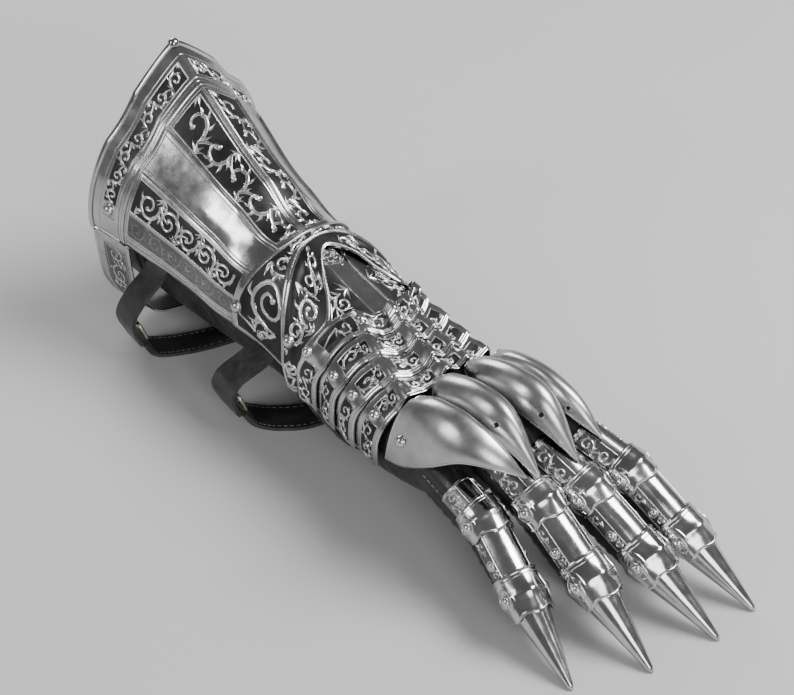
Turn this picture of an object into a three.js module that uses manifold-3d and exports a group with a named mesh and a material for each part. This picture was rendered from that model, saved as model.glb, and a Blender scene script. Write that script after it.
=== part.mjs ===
// Armoured gauntlet for a right hand, lying palm down on its claws and straps.
// Millimetres, +Z up, +X along the fingers, +Y towards the thumb side.
import * as THREE from 'three';
import Module from 'manifold-3d';

const wasm = await Module();
wasm.setup();

// ---- driving dimensions -------------------------------------------------
const STEEL = 1.2;            // plate thickness
const LEATHER = 1.8;          // glove wall
const STRAP = 2.2;            // strap leather
const L1 = 2.4;               // outer face of a plate next to the glove
const L2 = 4.2;               // outer face of a plate that laps over one other
const L3 = 6;                 // outer face of a plate that laps over two
const RIM = -228;             // rear rim of the cuff at its ridge
const RIM_SWEEP = 7;          // how much further back the rim runs at the sides
const CUFF_FRONT = -105;      // front end of the cuff at its ridge, under the first wrist plate
const CUFF_SWEEP = 10;        // how much further back the front end is at the sides
const RIDGE_H = 5.5;          // knuckle ridges of the hand lames
const RIDGE_REACH = 48;       // degrees from the top that the ridges take up
const RIDGE_NARROW = 0.7;     // their spread at the rear end of the lames
const TUBE_R = 10.7;          // finger plates, outer radius
const COP_R = 13.2;           // finger cops at their cross ridge
const CLAW = 47;              // length of a claw along its back
const CLAW_R = 10.5;           // claw at its open end
const FAR = 0.94;             // the cuff is a little narrower on the thumb side
const TIP_R = 1.7;            // rounded claw point

const steel = new THREE.MeshStandardMaterial({ color: 0x9b9da0, metalness: 1, roughness: 0.28 });
const dark = new THREE.MeshStandardMaterial({ color: 0x5e6063, metalness: 1, roughness: 0.4 });
const hide = new THREE.MeshStandardMaterial({ color: 0x17171a, metalness: 0, roughness: 0.6 });
const brass = new THREE.MeshStandardMaterial({ color: 0xb9b08e, metalness: 1, roughness: 0.3 });

// ---- small maths --------------------------------------------------------
const V = (x, y, z) => new THREE.Vector3(x, y, z);
const rad = (a) => (a * Math.PI) / 180;
const mix = (a, b, t) => a + (b - a) * t;
const clamp = (t, a = 0, b = 1) => Math.min(b, Math.max(a, t));
const ease = (t) => { const c = clamp(t); return c * c * (3 - 2 * c); };

// Smooth value along a table of rows, the first column being the key.
function along(rows, x, col) {
  const n = rows.length;
  if (x <= rows[0][0]) return rows[0][col];
  if (x >= rows[n - 1][0]) return rows[n - 1][col];
  let i = 0;
  while (x > rows[i + 1][0]) i += 1;
  const a = rows[Math.max(0, i - 1)];
  const b = rows[i];
  const c = rows[i + 1];
  const d = rows[Math.min(n - 1, i + 2)];
  const h = c[0] - b[0];
  const t = (x - b[0]) / h;
  const m0 = ((c[col] - a[col]) / (c[0] - a[0])) * h;
  const m1 = ((d[col] - b[col]) / (d[0] - b[0])) * h;
  return (2 * t ** 3 - 3 * t ** 2 + 1) * b[col] + (t ** 3 - 2 * t ** 2 + t) * m0
    + (3 * t ** 2 - 2 * t ** 3) * c[col] + (t ** 3 - t ** 2) * m1;
}

// ---- solids -------------------------------------------------------------
function solid(points, faces) {
  let volume = 0;
  for (const [a, b, c] of faces) {
    volume += points[a].dot(points[b].clone().cross(points[c]));
  }
  const index = faces.flatMap(([a, b, c]) => (volume < 0 ? [a, c, b] : [a, b, c]));
  const geometry = new THREE.BufferGeometry();
  geometry.setAttribute('position',
    new THREE.Float32BufferAttribute(points.flatMap((p) => [p.x, p.y, p.z]), 3));
  geometry.setIndex(index);
  geometry.computeVertexNormals();
  return geometry;
}

// Rings of equal count joined one to the next; a single point closes an end.
function loft(rings, cyclic) {
  const points = [];
  const rows = rings.map((ring) => ring.map((p) => points.push(p) - 1));
  const faces = [];
  const last = cyclic ? rows.length : rows.length - 1;
  for (let j = 0; j < last; j += 1) {
    const a = rows[j];
    const b = rows[(j + 1) % rows.length];
    const n = Math.max(a.length, b.length);
    for (let i = 0; i < n; i += 1) {
      const k = (i + 1) % n;
      if (a.length === 1) faces.push([a[0], b[i], b[k]]);
      else if (b.length === 1) faces.push([a[i], b[0], a[k]]);
      else faces.push([a[i], b[i], b[k]], [a[i], b[k], a[k]]);
    }
  }
  return solid(points, faces);
}

// A bent sheet: outer(u, v) and inner(u, v) faces with closed rims.
function sheet(outer, inner, nu, nv) {
  const points = [];
  const put = (f) => Array.from({ length: nv + 1 }, (_, j) => Array.from({ length: nu + 1 },
    (__, i) => points.push(f(i / nu, j / nv)) - 1));
  const a = put(outer);
  const b = put(inner);
  const faces = [];
  const quad = (p, q, r, s) => faces.push([p, q, r], [p, r, s]);
  for (let j = 0; j < nv; j += 1) {
    for (let i = 0; i < nu; i += 1) {
      quad(a[j][i], a[j][i + 1], a[j + 1][i + 1], a[j + 1][i]);
      quad(b[j][i], b[j + 1][i], b[j + 1][i + 1], b[j][i + 1]);
    }
    quad(a[j][0], a[j + 1][0], b[j + 1][0], b[j][0]);
    quad(a[j][nu], b[j][nu], b[j + 1][nu], a[j + 1][nu]);
  }
  for (let i = 0; i < nu; i += 1) {
    quad(a[0][i], b[0][i], b[0][i + 1], a[0][i + 1]);
    quad(a[nv][i], a[nv][i + 1], b[nv][i + 1], b[nv][i]);
  }
  return solid(points, faces);
}

// Outward normal of a surface point, away from the given axis point.
function normalAt(surface, u, v, core) {
  const e = 1e-3;
  const du = surface(Math.min(1, u + e), v).sub(surface(Math.max(0, u - e), v));
  const dv = surface(u, Math.min(1, v + e)).sub(surface(u, Math.max(0, v - e)));
  const n = du.cross(dv).normalize();
  return n.dot(surface(u, v).sub(core)) < 0 ? n.negate() : n;
}

function toManifold(geometry) {
  const mesh = new wasm.Mesh({
    numProp: 3,
    vertProperties: new Float32Array(geometry.attributes.position.array),
    triVerts: new Uint32Array(geometry.index.array),
  });
  mesh.merge();
  return new wasm.Manifold(mesh);
}

function fromManifold(body) {
  const mesh = body.getMesh();
  const geometry = new THREE.BufferGeometry();
  geometry.setAttribute('position', new THREE.Float32BufferAttribute(mesh.vertProperties, 3));
  geometry.setIndex(Array.from(mesh.triVerts));
  geometry.computeVertexNormals();
  return geometry;
}

const join = (...list) => fromManifold(wasm.Manifold.union(list.map(toManifold)));
const cut = (body, ...tools) => fromManifold(
  tools.reduce((m, t) => m.subtract(toManifold(t)), toManifold(body)));

// A domed rivet head standing on a surface.
function rivet(at, normal, r, h = 0.7 * r, sides = 6) {
  const high = h > 0.8 * r;
  const side = Math.abs(normal.z) < 0.9 ? V(0, 0, 1).cross(normal).normalize() : V(1, 0, 0);
  const up = normal.clone().cross(side).normalize();
  const ring = (rr, lift) => Array.from({ length: sides }, (_, i) => {
    const a = (2 * Math.PI * i) / sides;
    return at.clone().addScaledVector(normal, lift)
      .addScaledVector(side, rr * Math.cos(a)).addScaledVector(up, rr * Math.sin(a));
  });
  return loft([[at.clone().addScaledVector(normal, -0.6)], ring(r, -0.6), ring(r, 0.2 * h),
    ...(high ? [ring(0.68 * r, 0.78 * h)] : []), [at.clone().addScaledVector(normal, h)]]);
}

// ---- the forearm and hand as one run of oval sections -------------------
// x, half width to the near side, height of the widest line, top, bottom, half width to the far side
const ARM = [
  [-240, 47, 62, 102, 13, 46],
  [-170, 44, 62, 104, 12, 42.5],
  [-130, 41, 61, 105, 12, 39],
  [-105, 39.5, 59, 104, 12, 37],
  [-75, 40, 53, 96, 10, 36],
  [-45, 42, 48, 89, 8, 37],
  [-10, 43, 46, 80.5, 9, 37.5],
  [20, 42, 48, 75, 16, 37.5],
  [44, 40, 52, 69, 26, 37],
];
const ARM_POWER = 2.2;

function armPoint(x, deg) {
  const mid = along(ARM, x, 2);
  const h = Math.abs(deg) <= 90 ? along(ARM, x, 3) - mid : mid - along(ARM, x, 4);
  const s = Math.sin(rad(deg));
  const c = Math.cos(rad(deg));
  const w = along(ARM, x, s < 0 ? 1 : 5);
  const k = (Math.abs(s) ** ARM_POWER + Math.abs(c) ** ARM_POWER) ** (-1 / ARM_POWER);
  return V(x, w * k * s, mid + h * k * c);
}

function armLift(x, deg, lift) {
  const a = armPoint(x, deg + 0.5).sub(armPoint(x, deg - 0.5));
  return armPoint(x, deg).addScaledVector(V(0, -a.z, a.y).normalize(), lift);
}

// ---- cuff ---------------------------------------------------------------
// distance behind the front end, half width, height of widest line, cusp height
const BELL = [
  [0, 45, 61, 0],
  [18, 46, 62, 4],
  [60, 48.5, 68, 11],
  [100, 56, 76, 20],
  [122, 60.5, 80, 25],
  [134, 64, 82, 28],
];
const BELL_LENGTH = 134;

function bellPoint(t, deg) {
  const k = Math.min(1, Math.abs(deg) / 90);
  const x = mix(CUFF_FRONT - CUFF_SWEEP * k, RIM - RIM_SWEEP * k ** 1.5, t);
  const d = t * BELL_LENGTH;
  const w = along(BELL, d, 1);
  const s = Math.sin(rad(deg));
  const c = Math.cos(rad(deg));
  const r = w + flutes(deg) * ease((d - 10) / 30);
  const y = r * s * (s > 0 ? FAR : 1);
  const z = along(BELL, d, 2) + r * 1.06 * c
    + along(BELL, d, 3) * Math.exp(-((Math.abs(y) / (0.52 * w)) ** 1.25));
  const front = armLift(x, deg, L1 - 0.2);
  const blend = ease((d - 14) / 34);
  return V(x, mix(front.y, y, blend), mix(front.z, z, blend));
}

// Lengthwise flutes: a sharp centre ridge, hollow channels either side.
function flutes(deg) {
  const a = Math.abs(deg);
  if (a < 26) return 0;
  if (a < 50) return -2.6 * Math.sin(Math.PI * (a - 26) / 24);
  return 0;
}

function cuff() {
  const span = 96;
  const face = (u, v) => bellPoint(v, mix(-span, span, u));
  const core = (v) => V(mix(CUFF_FRONT, RIM, v), 0, 70);
  const roll = (v) => (v > 0.97 ? 1.5 : 0);
  const out = (u, v) => face(u, v).addScaledVector(normalAt(face, u, v, core(v)), roll(v));
  const inn = (u, v) => face(u, v)
    .addScaledVector(normalAt(face, u, v, core(v)), -STEEL - roll(v));
  const stations = [0, 0.1, 0.22, 0.4, 0.64, 0.86, 0.975, 1];
  const angles = [-96, -84, -70, -58, -50, -38, -26, -13, 0, 13, 26, 38, 50, 58, 70, 84, 96];
  const pick = (list, k) => list[Math.round(k * (list.length - 1))];
  const grid = (f) => (u, v) => f((pick(angles, u) + span) / (2 * span), pick(stations, v));
  const body = sheet(grid(out), grid(inn), angles.length - 1, stations.length - 1);
  const at = (deg, t) => {
    const u = (deg + span) / (2 * span);
    return rivet(face(u, t), normalAt(face, u, t, core(t)), 3.6, 3.4);
  };
  return join(body, at(-80, 0.9), at(80, 0.9));
}

// Lower half of the cuff mouth, closing it under the sleeve.
function collar() {
  // degrees round from the near side, half width, height
  const path = [[0, -60.5, 72], [1, -60, 56], [2, -57, 34], [3, -45, 15], [4, -22, 7.5],
    [5, 0, 6.2], [6, 21, 7.5], [7, 43, 15], [8, 54, 34], [9, 56.5, 56], [10, 56.5, 72]];
  const face = (u, v) => {
    const k = u * 10;
    const grow = mix(1, 0.955, v);
    return V(mix(-239, -209, v), along(path, k, 1) * grow, mix(60, along(path, k, 2), grow));
  };
  const core = () => V(-220, 0, 60);
  const t = (u, v, d) => face(u, v).addScaledVector(normalAt(face, u, v, core()), d);
  return sheet((u, v) => t(u, v, v < 0.1 ? 0.6 : 0), (u, v) => t(u, v, v < 0.1 ? -1.8 : -STEEL),
    15, 2);
}

// ---- wrist and hand plates ----------------------------------------------
// One plate bent over the arm, sampled at the given angles. stations(deg) lists
// [x, height of the outer face] from the rear edge to the front edge.
function armPlate({ angles, stations, bump = () => 0, turn = (a) => a }) {
  const rows = angles.map(stations);
  const nv = rows[0].length - 1;
  const at = (u, v, d) => {
    const i = Math.round(u * (angles.length - 1));
    const [x, lift] = rows[i][Math.round(v * nv)];
    return armLift(x, turn(angles[i], x), lift + bump(angles[i]) + d);
  };
  return sheet((u, v) => at(u, v, 0), (u, v) => at(u, v, -STEEL), angles.length - 1, nv);
}

// Edge of a plate: x at the top and x at the sides.
const spread = (top, side) => (deg) => mix(top, side, ease((Math.abs(deg) - 12) / 68));

function onArm(x, deg, lift, r, h) {
  const n = armLift(x, deg, 1).sub(armPoint(x, deg)).normalize();
  return rivet(armLift(x, deg, lift - 0.2), n, r, h);
}

const LAME_TOP = [-46, -34.5, -21, -7, 4];
const LAME_SIDE = [-70, -56, -40, -23, -4];
const LAP = 4;                // how far each lame runs under the one behind it

const lobe = (deg) => (deg < -80 ? ease((-80 - deg) / 26) : 0);
const EDGE = {
  wrist1Rear: spread(-113, -128),
  wrist1Front: spread(-100, -77),
  wrist2Rear: (deg) => spread(-106, -84)(deg) + 5 * lobe(deg),
  wrist2Front: (deg) => mix(mix(-97, -61.5, ease(Math.abs(deg) / 40)), -68,
    ease((Math.abs(deg) - 40) / 26)) - 3 * lobe(deg),
  backRear: spread(-104, -30),
  backFront: (deg) => spread(LAME_TOP[1], LAME_SIDE[1])((deg - 4) / 0.78) - LAP - 2.4,
};

function wristPlate1() {
  const body = armPlate({ angles: [-94, -80, -64, -48, -32, -16, 0, 16, 32, 48, 64, 80],
    stations: (a) => [0, 0.5, 1].map((t) => [mix(EDGE.wrist1Rear(a), EDGE.wrist1Front(a), t), L2]) });
  return join(body, onArm(-124, -76, L2, 3.8, 3.6), onArm(-104, -84, L2, 2.6, 1.8));
}

function wristPlate2() {
  const body = armPlate({
    angles: [-104, -97, -90, -80, -66, -53, -40, -27, -14, 0, 14, 27, 40, 53, 66, 78],
    stations: (a) => {
      const front = EDGE.wrist2Front(a);
      const step = Math.min(EDGE.wrist1Front(a) + 0.6, front - 2);
      return [[EDGE.wrist2Rear(a), L3], [step, L3],
        [Math.min(step + 4.5, front - 1), Math.abs(a) < 20 ? L3 : L2],
        [front, Math.abs(a) < 20 ? L3 : L2]];
    } });
  return join(body, onArm(-80, -66, L3, 3.6, 3.4));
}

// Plate over the back of the hand with a smooth centre keel.
function metacarpalPlate() {
  return armPlate({ angles: [-46, -36, -24, -12, 0, 12, 24, 36, 46],
    stations: (a) => [0, 0.33, 0.66, 1].map((t) => [mix(EDGE.backRear(a), EDGE.backFront(a), t),
      L1 + (a === 0 && t > 0 ? 1.2 : 0)]) });
}

const CRESTS = [-36, -5.5, 14, 38];
const LAME_ANGLES = [-103, -84, -62, -55, -48, -36, -25, -16, -5.5, 4.5, 14, 23, 28, 38, 48, 64];

function lameStations(i, deg) {
  const rear = spread(LAME_TOP[i], LAME_SIDE[i])(deg);
  const front = spread(LAME_TOP[i + 1], LAME_SIDE[i + 1])(deg);
  const over = front - LAP - 0.6;
  if (i) return [[rear - LAP, L1], [rear + 0.6, L1], [over, L2], [front, L2]];
  const real = fan(deg, rear);
  const under = Math.max(EDGE.wrist2Front(real), Math.abs(real) < 50 ? EDGE.backFront(real) : -99);
  return [[rear, L3], [Math.max(rear + 1, Math.min(under + 0.6, over - 2)), L3], [over, L2],
    [front, L2]];
}

function handLame(i) {
  const body = armPlate({ angles: LAME_ANGLES, stations: (deg) => lameStations(i, deg), turn: fan,
    bump: (deg) => (CRESTS.includes(deg) ? RIDGE_H : 0) });
  const row = lameStations(i, -62);
  const at = i ? 0.62 : 0.5;
  return join(body, onArm(mix(row[i ? 1 : 0][0], row[i ? 2 : 1][0], at), -61,
    mix(row[i ? 1 : 0][1], row[i ? 2 : 1][1], at), 3.1, 2.9));
}

// The ridges spread towards the fingers.
function fan(deg, x) {
  const t = clamp((x + 50) / 50);
  const edge = ease((Math.abs(deg) - RIDGE_REACH) / 16);
  return mix(deg * mix(RIDGE_NARROW, 1, t) + mix(4, 0, t), deg, edge);
}

// ---- knuckle guards -----------------------------------------------------
// Each row is one station: near edge x y z, crest x y z, far edge x y z.
const GUARDS = {
  pinky: [
    [2, -46.5, 47, 8, -32, 85, 8, -23.5, 79],
    [18, -48, 54, 20, -31.5, 92, 20, -22.4, 82],
    [36, -47, 66, 38, -30, 94.5, 36, -22.2, 84],
    [52, -42, 77, 54, -27.5, 91, 52, -21.8, 83],
    [66, -33, 77.5, 67, -24.5, 83, 65, -21, 79],
    [77, -20.4, 71, 77.4, -20, 71.2, 77, -19.6, 71],
  ],
  ring: [
    [4.8, -16, 80.5, 4.8, -11, 85.5, 4.8, -6, 80.5],
    [12, -20.6, 79, 12, -11, 91, 12, -1.4, 79],
    [30, -21.2, 82, 30, -11, 97, 30, -0.8, 82],
    [48, -20.4, 82, 49, -11, 96.5, 48, -1.2, 82],
    [63, -17, 76, 63, -11, 87, 62, -4.6, 76],
    [78, -11.4, 66.6, 78.4, -11, 66.8, 78, -10.6, 66.6],
  ],
  middle: [
    [4.8, 6.5, 80.5, 4.8, 11.5, 85, 4.8, 16.5, 80],
    [16, 2, 79, 16, 11.5, 92, 16, 21, 79],
    [34, 1.2, 82, 34, 11.5, 97.5, 34, 21.8, 82],
    [52, 1.8, 82, 53, 12, 97, 52, 22, 82],
    [67, 6, 76, 67, 12.6, 87, 66, 19.2, 76],
    [82, 12.8, 64.5, 82.4, 13.2, 64.7, 82, 13.6, 64.5],
  ],
  index: [
    [6, 23.4, 75, 6, 28.5, 80, 0, 41.5, 60],
    [17, 23.2, 78, 17, 28.5, 86.5, 15, 42.5, 61],
    [35, 23.6, 79, 35, 29, 90, 35, 42.5, 65],
    [52, 24.6, 77, 52, 30.5, 87, 52, 40, 72],
    [66, 28, 72, 66, 33, 79, 66, 38, 71],
    [79, 34.1, 64.5, 79.4, 34.5, 64.7, 79, 34.9, 64.5],
  ],
};

function guardFace(rows) {
  const keyed = rows.map((row, i) => [i, ...row]);
  return (u, v) => {
    const k = v * (rows.length - 1);
    const p = (c) => V(along(keyed, k, c), along(keyed, k, c + 1), along(keyed, k, c + 2));
    const crest = p(4);
    const edge = u < 0.5 ? p(1) : p(7);
    const a = Math.abs(2 * u - 1) * (Math.PI / 2);
    return V(mix(crest.x, edge.x, Math.abs(2 * u - 1)), mix(crest.y, edge.y, Math.sin(a)),
      mix(crest.z, edge.z, 1 - Math.cos(a)));
  };
}

function knuckleGuard(name) {
  const rows = GUARDS[name];
  const face = guardFace(rows);
  const inner = (u, v) => {
    const p = face(u, v);
    const core = V(p.x, face(0.5, v).y, p.z - 40);
    return p.addScaledVector(normalAt(face, u, v, core), -STEEL * mix(1, 0.75, v));
  };
  const body = sheet(face, inner, 8, 7);
  if (name !== 'pinky' && name !== 'index') return body;
  const [u, v] = name === 'pinky' ? [0.14, 0.14] : [0.86, 0.14];
  const p = face(u, v);
  return join(body, rivet(p, normalAt(face, u, v, V(p.x, 0, p.z - 30)), 3.3, 3));
}

// ---- digits -------------------------------------------------------------
// tip x y, fall of the outer part in degrees, aim in plan, fall of the inner part,
// aim of the inner part, size
const DIGITS = {
  pinky: { tip: [146, -54], fall: 27, aim: -12.5, fall2: 14, aim2: -3, size: 0.95 },
  ring: { tip: [165, -17], fall: 31, aim: -2.5, fall2: 20, aim2: 0, size: 1 },
  middle: { tip: [174, 23], fall: 29.5, aim: 6.5, fall2: 20, aim2: 5.9, size: 1 },
  index: { tip: [174, 51.7], fall: 30, aim: 7.3, fall2: 17, aim2: 11.6, size: 0.96 },
  thumb: { tip: [50, 66], fall: 17, aim: 9, fall2: 12, aim2: 17, size: 0.94 },
};
const JOINT_2 = 97;           // middle joint, distance back from the point
const BEND = 9;               // length over which a joint turns

// Centre line of a digit at a distance s behind its point.
function digitLine({ tip, fall, aim, fall2, aim2, size }) {
  const dir = (f, a) => V(-Math.cos(rad(f)) * Math.cos(rad(a)),
    -Math.cos(rad(f)) * Math.sin(rad(a)), Math.sin(rad(f)));
  const a = dir(fall, aim);
  const b = dir(fall2, aim2);
  const knee = JOINT_2 * size;
  return (s) => {
    const p = V(tip[0], tip[1], 1.02 * TIP_R * Math.cos(rad(fall)) - 0.75 * Math.sin(rad(fall)) + 0.05);
    const over = s - knee;
    const t = clamp((over + BEND) / (2 * BEND));
    const turned = over > BEND ? over : BEND * t * t;
    p.addScaledVector(a, s - turned).addScaledVector(b, turned);
    const d = a.clone().lerp(b, t).normalize();
    return { p, d };
  };
}

function digitRing(line, s, deg, r) {
  const { p, d } = line(s);
  const side = d.clone().cross(V(0, 0, 1)).normalize();
  const up = side.clone().cross(d).normalize();
  return p.addScaledVector(side, r * Math.sin(rad(deg))).addScaledVector(up, r * Math.cos(rad(deg)));
}

// Half-round plate over a digit; radius and reach may change along it.
function digitPlate(line, from, to, radius, reach, nu, nv) {
  const at = (u, v, d) => {
    const top = reach(v);
    return digitRing(line, mix(from, to, v), mix(-top, top, u), radius(v) + d);
  };
  return sheet((u, v) => at(u, v, 0), (u, v) => at(u, v, -STEEL + 0.1), nu, nv);
}

function digitRivets(line, s, deg, r, size) {
  return [-1, 1].map((k) => {
    const p = digitRing(line, s, k * deg, r);
    return rivet(p, p.clone().sub(line(s).p).normalize(), size);
  });
}

function digitTube(d, line) {
  const k = d.size;
  const body = digitPlate(line, 62 * k, 92 * k, () => TUBE_R * k, () => 98, 8, 1);
  return join(body, ...digitRivets(line, 73 * k, 72, TUBE_R * k, 2.1));
}

function digitLame(d, line, root) {
  const k = d.size;
  return digitPlate(line, 102 * k, root, () => TUBE_R * k, () => 98, 8, 2);
}

// Cop with a cross ridge and rounded wings at the sides.
function digitCop(d, line, from, to, front) {
  const k = d.size;
  const end = (COP_R - 0.7) * k;
  const radius = (v) => (v < 0.5 ? mix(front, COP_R * k, 2 * v) : mix(COP_R * k, end, 2 * v - 1));
  const reach = (v) => 88 + 26 * Math.sin(Math.PI * v);
  const body = digitPlate(line, from * k, to * k, radius, reach, 8, 2);
  return join(body, ...digitRivets(line, mix(from, to, 0.5) * k, 74, COP_R * k - 0.5, 2.5));
}

// A claw is a cone, fuller and longer on the palm side, with a rounded point.
function claw(d, line) {
  const k = d.size;
  const ring = (t, off) => Array.from({ length: 12 }, (_, i) => {
    const deg = 30 * i;
    const palm = Math.max(0, -Math.cos(rad(deg)));
    const s = t * (CLAW + 5 * palm) * k;
    const r = mix(TIP_R, CLAW_R * k, t) * (1 + 0.4 * t * palm ** 3);
    return digitRing(line, s, deg, r - off);
  });
  return loft([[digitRing(line, -1.6, 0, 0)], ring(0.015, 0.1), ring(0.5, 0), ring(1, 0),
    ring(1, 1.1), ring(0.5, 1.1), ring(0.26, 1.3), [digitRing(line, 9, 0, 0)]]);
}

// ---- glove --------------------------------------------------------------
// Pear-shaped section of a leather finger: round above, full below.
function fingerRadius(d, s, deg, off) {
  const k = d.size;
  const top = 8.9 * k;
  const pad = along([[20, 4.3], [34, 7.5], [48, 11.2], [58, 15.6], [72, 18], [96, 19.5], [124, 20]],
    s / k, 1) * k;
  const a = Math.abs(deg > 180 ? 360 - deg : deg);
  const t = clamp((a - 108) / 72);
  const tight = along([[20, 3.3], [32, 5.7], [46, 8.7]], s / k, 1) * k;
  const base = Math.min(top, tight);
  const fold = s > 56 * k ? 0.5 * Math.sin(s * 0.9 + d.tip[1]) * t : 0;
  return mix(base, Math.max(base, pad), t ** 0.8) + fold + off;
}

function fingerBody(d, line, root, off, tip) {
  const n = 10;
  const ring = (s) => Array.from({ length: n }, (_, i) => {
    const deg = (360 * (i + 0.5)) / n;
    return digitRing(line, s, deg, fingerRadius(d, s, deg, off));
  });
  const k = d.size;
  const stops = [tip, 36, 50, 66, 84, 102].map((s) => s * k).filter((s) => s < root - 6);
  return [[digitRing(line, (tip - 4) * k, 180, 1)], ...stops.map(ring), ring(root)];
}

function gloveFinger(d, line, root) {
  const out = fingerBody(d, line, root, 0, 27);
  const inn = fingerBody(d, line, root, -LEATHER, 29);
  return loft([...out, ...inn.reverse()]);
}

function fingerPlug(d, line, root, off) {
  const rings = fingerBody(d, line, root, off, 24).slice(3);
  const mid = (ring) => ring.reduce((a, p) => a.add(p), V(0, 0, 0)).divideScalar(ring.length);
  return loft([[mid(rings[0])], ...rings, [mid(rings[rings.length - 1])]]);
}

// The hand of the glove: an oval bag, open behind, with holes for the digits.
const HAND_REAR = -94;
const HAND_FRONT = 42;

function handRing(x, off, n) {
  const shut = ease((x - 26) / 18);
  const mid = V(x, 0, mix(50, 54, shut));
  return Array.from({ length: n }, (_, i) => {
    const p = armLift(x, (360 * (i + 0.5)) / n - 180, off);
    return p.lerp(mid, 0.12 * shut);
  });
}

function gloveHand(digits) {
  const n = 20;
  const xs = [HAND_REAR, -66, -36, -6, 20, 36];
  const out = xs.map((x) => handRing(x, 0, n));
  const inn = xs.slice(0, -1).concat(34).map((x) => handRing(x, -LEATHER, n)).reverse();
  const shell = loft([[V(HAND_FRONT, 0, 52)], ...out.reverse(), ...inn.reverse(),
    [V(HAND_FRONT - 3, 0, 52)]]);
  return cut(shell, ...digits.map(({ d, line, root }) => fingerPlug(d, line, root + 2, 0.4)));
}

function gloveSleeve() {
  const n = 20;
  const xs = [-236, -190, -140, HAND_REAR - 0.4];
  const out = xs.map((x) => handRing(x, 0, n));
  const inn = xs.map((x) => handRing(x, -LEATHER, n)).reverse();
  return loft([...out, ...inn], true);
}

// ---- straps and buckles -------------------------------------------------
// Ribbon of leather along a smooth line; aims give the level direction of its width.
function ribbonFrame(points, aims) {
  const curve = new THREE.CatmullRomCurve3(points, false, 'centripetal');
  return (v) => {
    const p = curve.getPoint(v);
    p.z = Math.max(p.z, STRAP / 2);
    const t = curve.getTangent(v);
    if (p.z <= STRAP / 2) t.setZ(0).normalize();
    const k = v * (aims.length - 1);
    const i = Math.min(aims.length - 2, Math.floor(k));
    const side = aims[i].clone().lerp(aims[i + 1], k - i).normalize();
    const up = side.clone().cross(t).normalize();
    return { p, t, side, up };
  };
}

function ribbon(frame, width, n) {
  const at = (u, v, d) => {
    const { p, side, up } = frame(v);
    return p.addScaledVector(side, (u - 0.5) * width).addScaledVector(up, d);
  };
  return sheet((u, v) => at(u, v, STRAP / 2), (u, v) => at(u, v, -STRAP / 2), 1, n);
}

// Each strap hangs in a loop: a short billet on the near side, the rest under the arm.
const STRAPS = {
  rear: { width: 18,
    billet: [V(-191, -48, 68.5), V(-193, -51.5, 60), V(-199, -64, 43), V(-203, -69, 28),
      V(-202, -64.5, 12)],
    loop: [V(-202.4, -62, 11), V(-199.5, -56, 3), V(-192, -44, 1.1), V(-184, -27, 1.1),
      V(-176, 0, 1.1), V(-170, 30, 1.1), V(-167, 50, 9), V(-167, 58, 34), V(-168.5, 50, 50),
      V(-171.5, 44.4, 61)],
    aims: [V(1, -0.15, 0), V(1, -0.5, 0), V(0.8, -0.6, 0), V(1, -0.25, 0), V(1, 0, 0),
      V(1, 0.1, 0)] },
  front: { width: 20,
    billet: [V(-103.5, -41.9, 52), V(-108, -50, 45), V(-115, -59.5, 34), V(-118, -62, 23),
      V(-116, -58.6, 11)],
    loop: [V(-115.6, -55.6, 10.4), V(-111, -49.5, 3), V(-101, -40, 1.1), V(-90, -25, 1.1),
      V(-84, 0, 1.1), V(-84, 28, 1.1), V(-86, 44, 8), V(-89, 50, 26), V(-92, 46, 44),
      V(-95, 41.5, 54)],
    aims: [V(1, -0.15, 0), V(1, -0.5, 0), V(0.8, -0.6, 0), V(1, -0.25, 0), V(1, 0, 0),
      V(1, 0.1, 0)] },
};
const LEVEL = [V(1, 0, 0), V(1, 0, 0), V(1, -0.1, 0)];

const billetFrame = (s) => ribbonFrame(s.billet, LEVEL);
const billet = (s) => ribbon(billetFrame(s), s.width, 8);
const loop = (s) => ribbon(ribbonFrame(s.loop, s.aims), s.width, 20);

// Open frame with its prong, lying on the outer face of the billet near its end.
function buckle(s) {
  const w = s.width / 2 + 3.2;
  const frame = (a, b, r) => {
    const shape = new THREE.Shape();
    shape.moveTo(-a + r, -b);
    shape.lineTo(a - r, -b);
    shape.lineTo(a, -b + r);
    shape.lineTo(a, b - r);
    shape.lineTo(a - r, b);
    shape.lineTo(-a + r, b);
    shape.lineTo(-a, b - r);
    shape.lineTo(-a, -b + r);
    shape.closePath();
    return shape;
  };
  const ring = frame(w, 8.2, 2.6);
  ring.holes.push(frame(w - 2.6, 5.6, 1.8));
  const body = new THREE.ExtrudeGeometry(ring, { depth: 2.2, bevelEnabled: false });
  const prong = new THREE.BoxGeometry(2.2, 14.6, 1.8).translate(0, 0.3, 2.6);
  const { p, side, up } = billetFrame(s)(0.86);
  const basis = new THREE.Matrix4().makeBasis(side, up.clone().cross(side), up);
  basis.setPosition(p.clone().addScaledVector(up, STRAP / 2 + 2.5));
  const weld = (g) => {
    const plain = new THREE.BufferGeometry();
    const source = g.index ? g.toNonIndexed() : g;
    const pos = source.attributes.position;
    const points = [];
    const keys = new Map();
    const index = [];
    for (let i = 0; i < pos.count; i += 1) {
      const key = [pos.getX(i), pos.getY(i), pos.getZ(i)].map((q) => q.toFixed(4)).join();
      if (!keys.has(key)) {
        keys.set(key, points.length / 3);
        points.push(pos.getX(i), pos.getY(i), pos.getZ(i));
      }
      index.push(keys.get(key));
    }
    plain.setAttribute('position', new THREE.Float32BufferAttribute(points, 3));
    plain.setIndex(index);
    return plain;
  };
  const out = join(weld(body), weld(prong));
  out.applyMatrix4(basis);
  return out;
}

function strapRivet(s, v) {
  const { p, up } = billetFrame(s)(v);
  return rivet(p.addScaledVector(up, STRAP / 2 + 0.9), up, 3, 2.4, 8);
}

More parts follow.
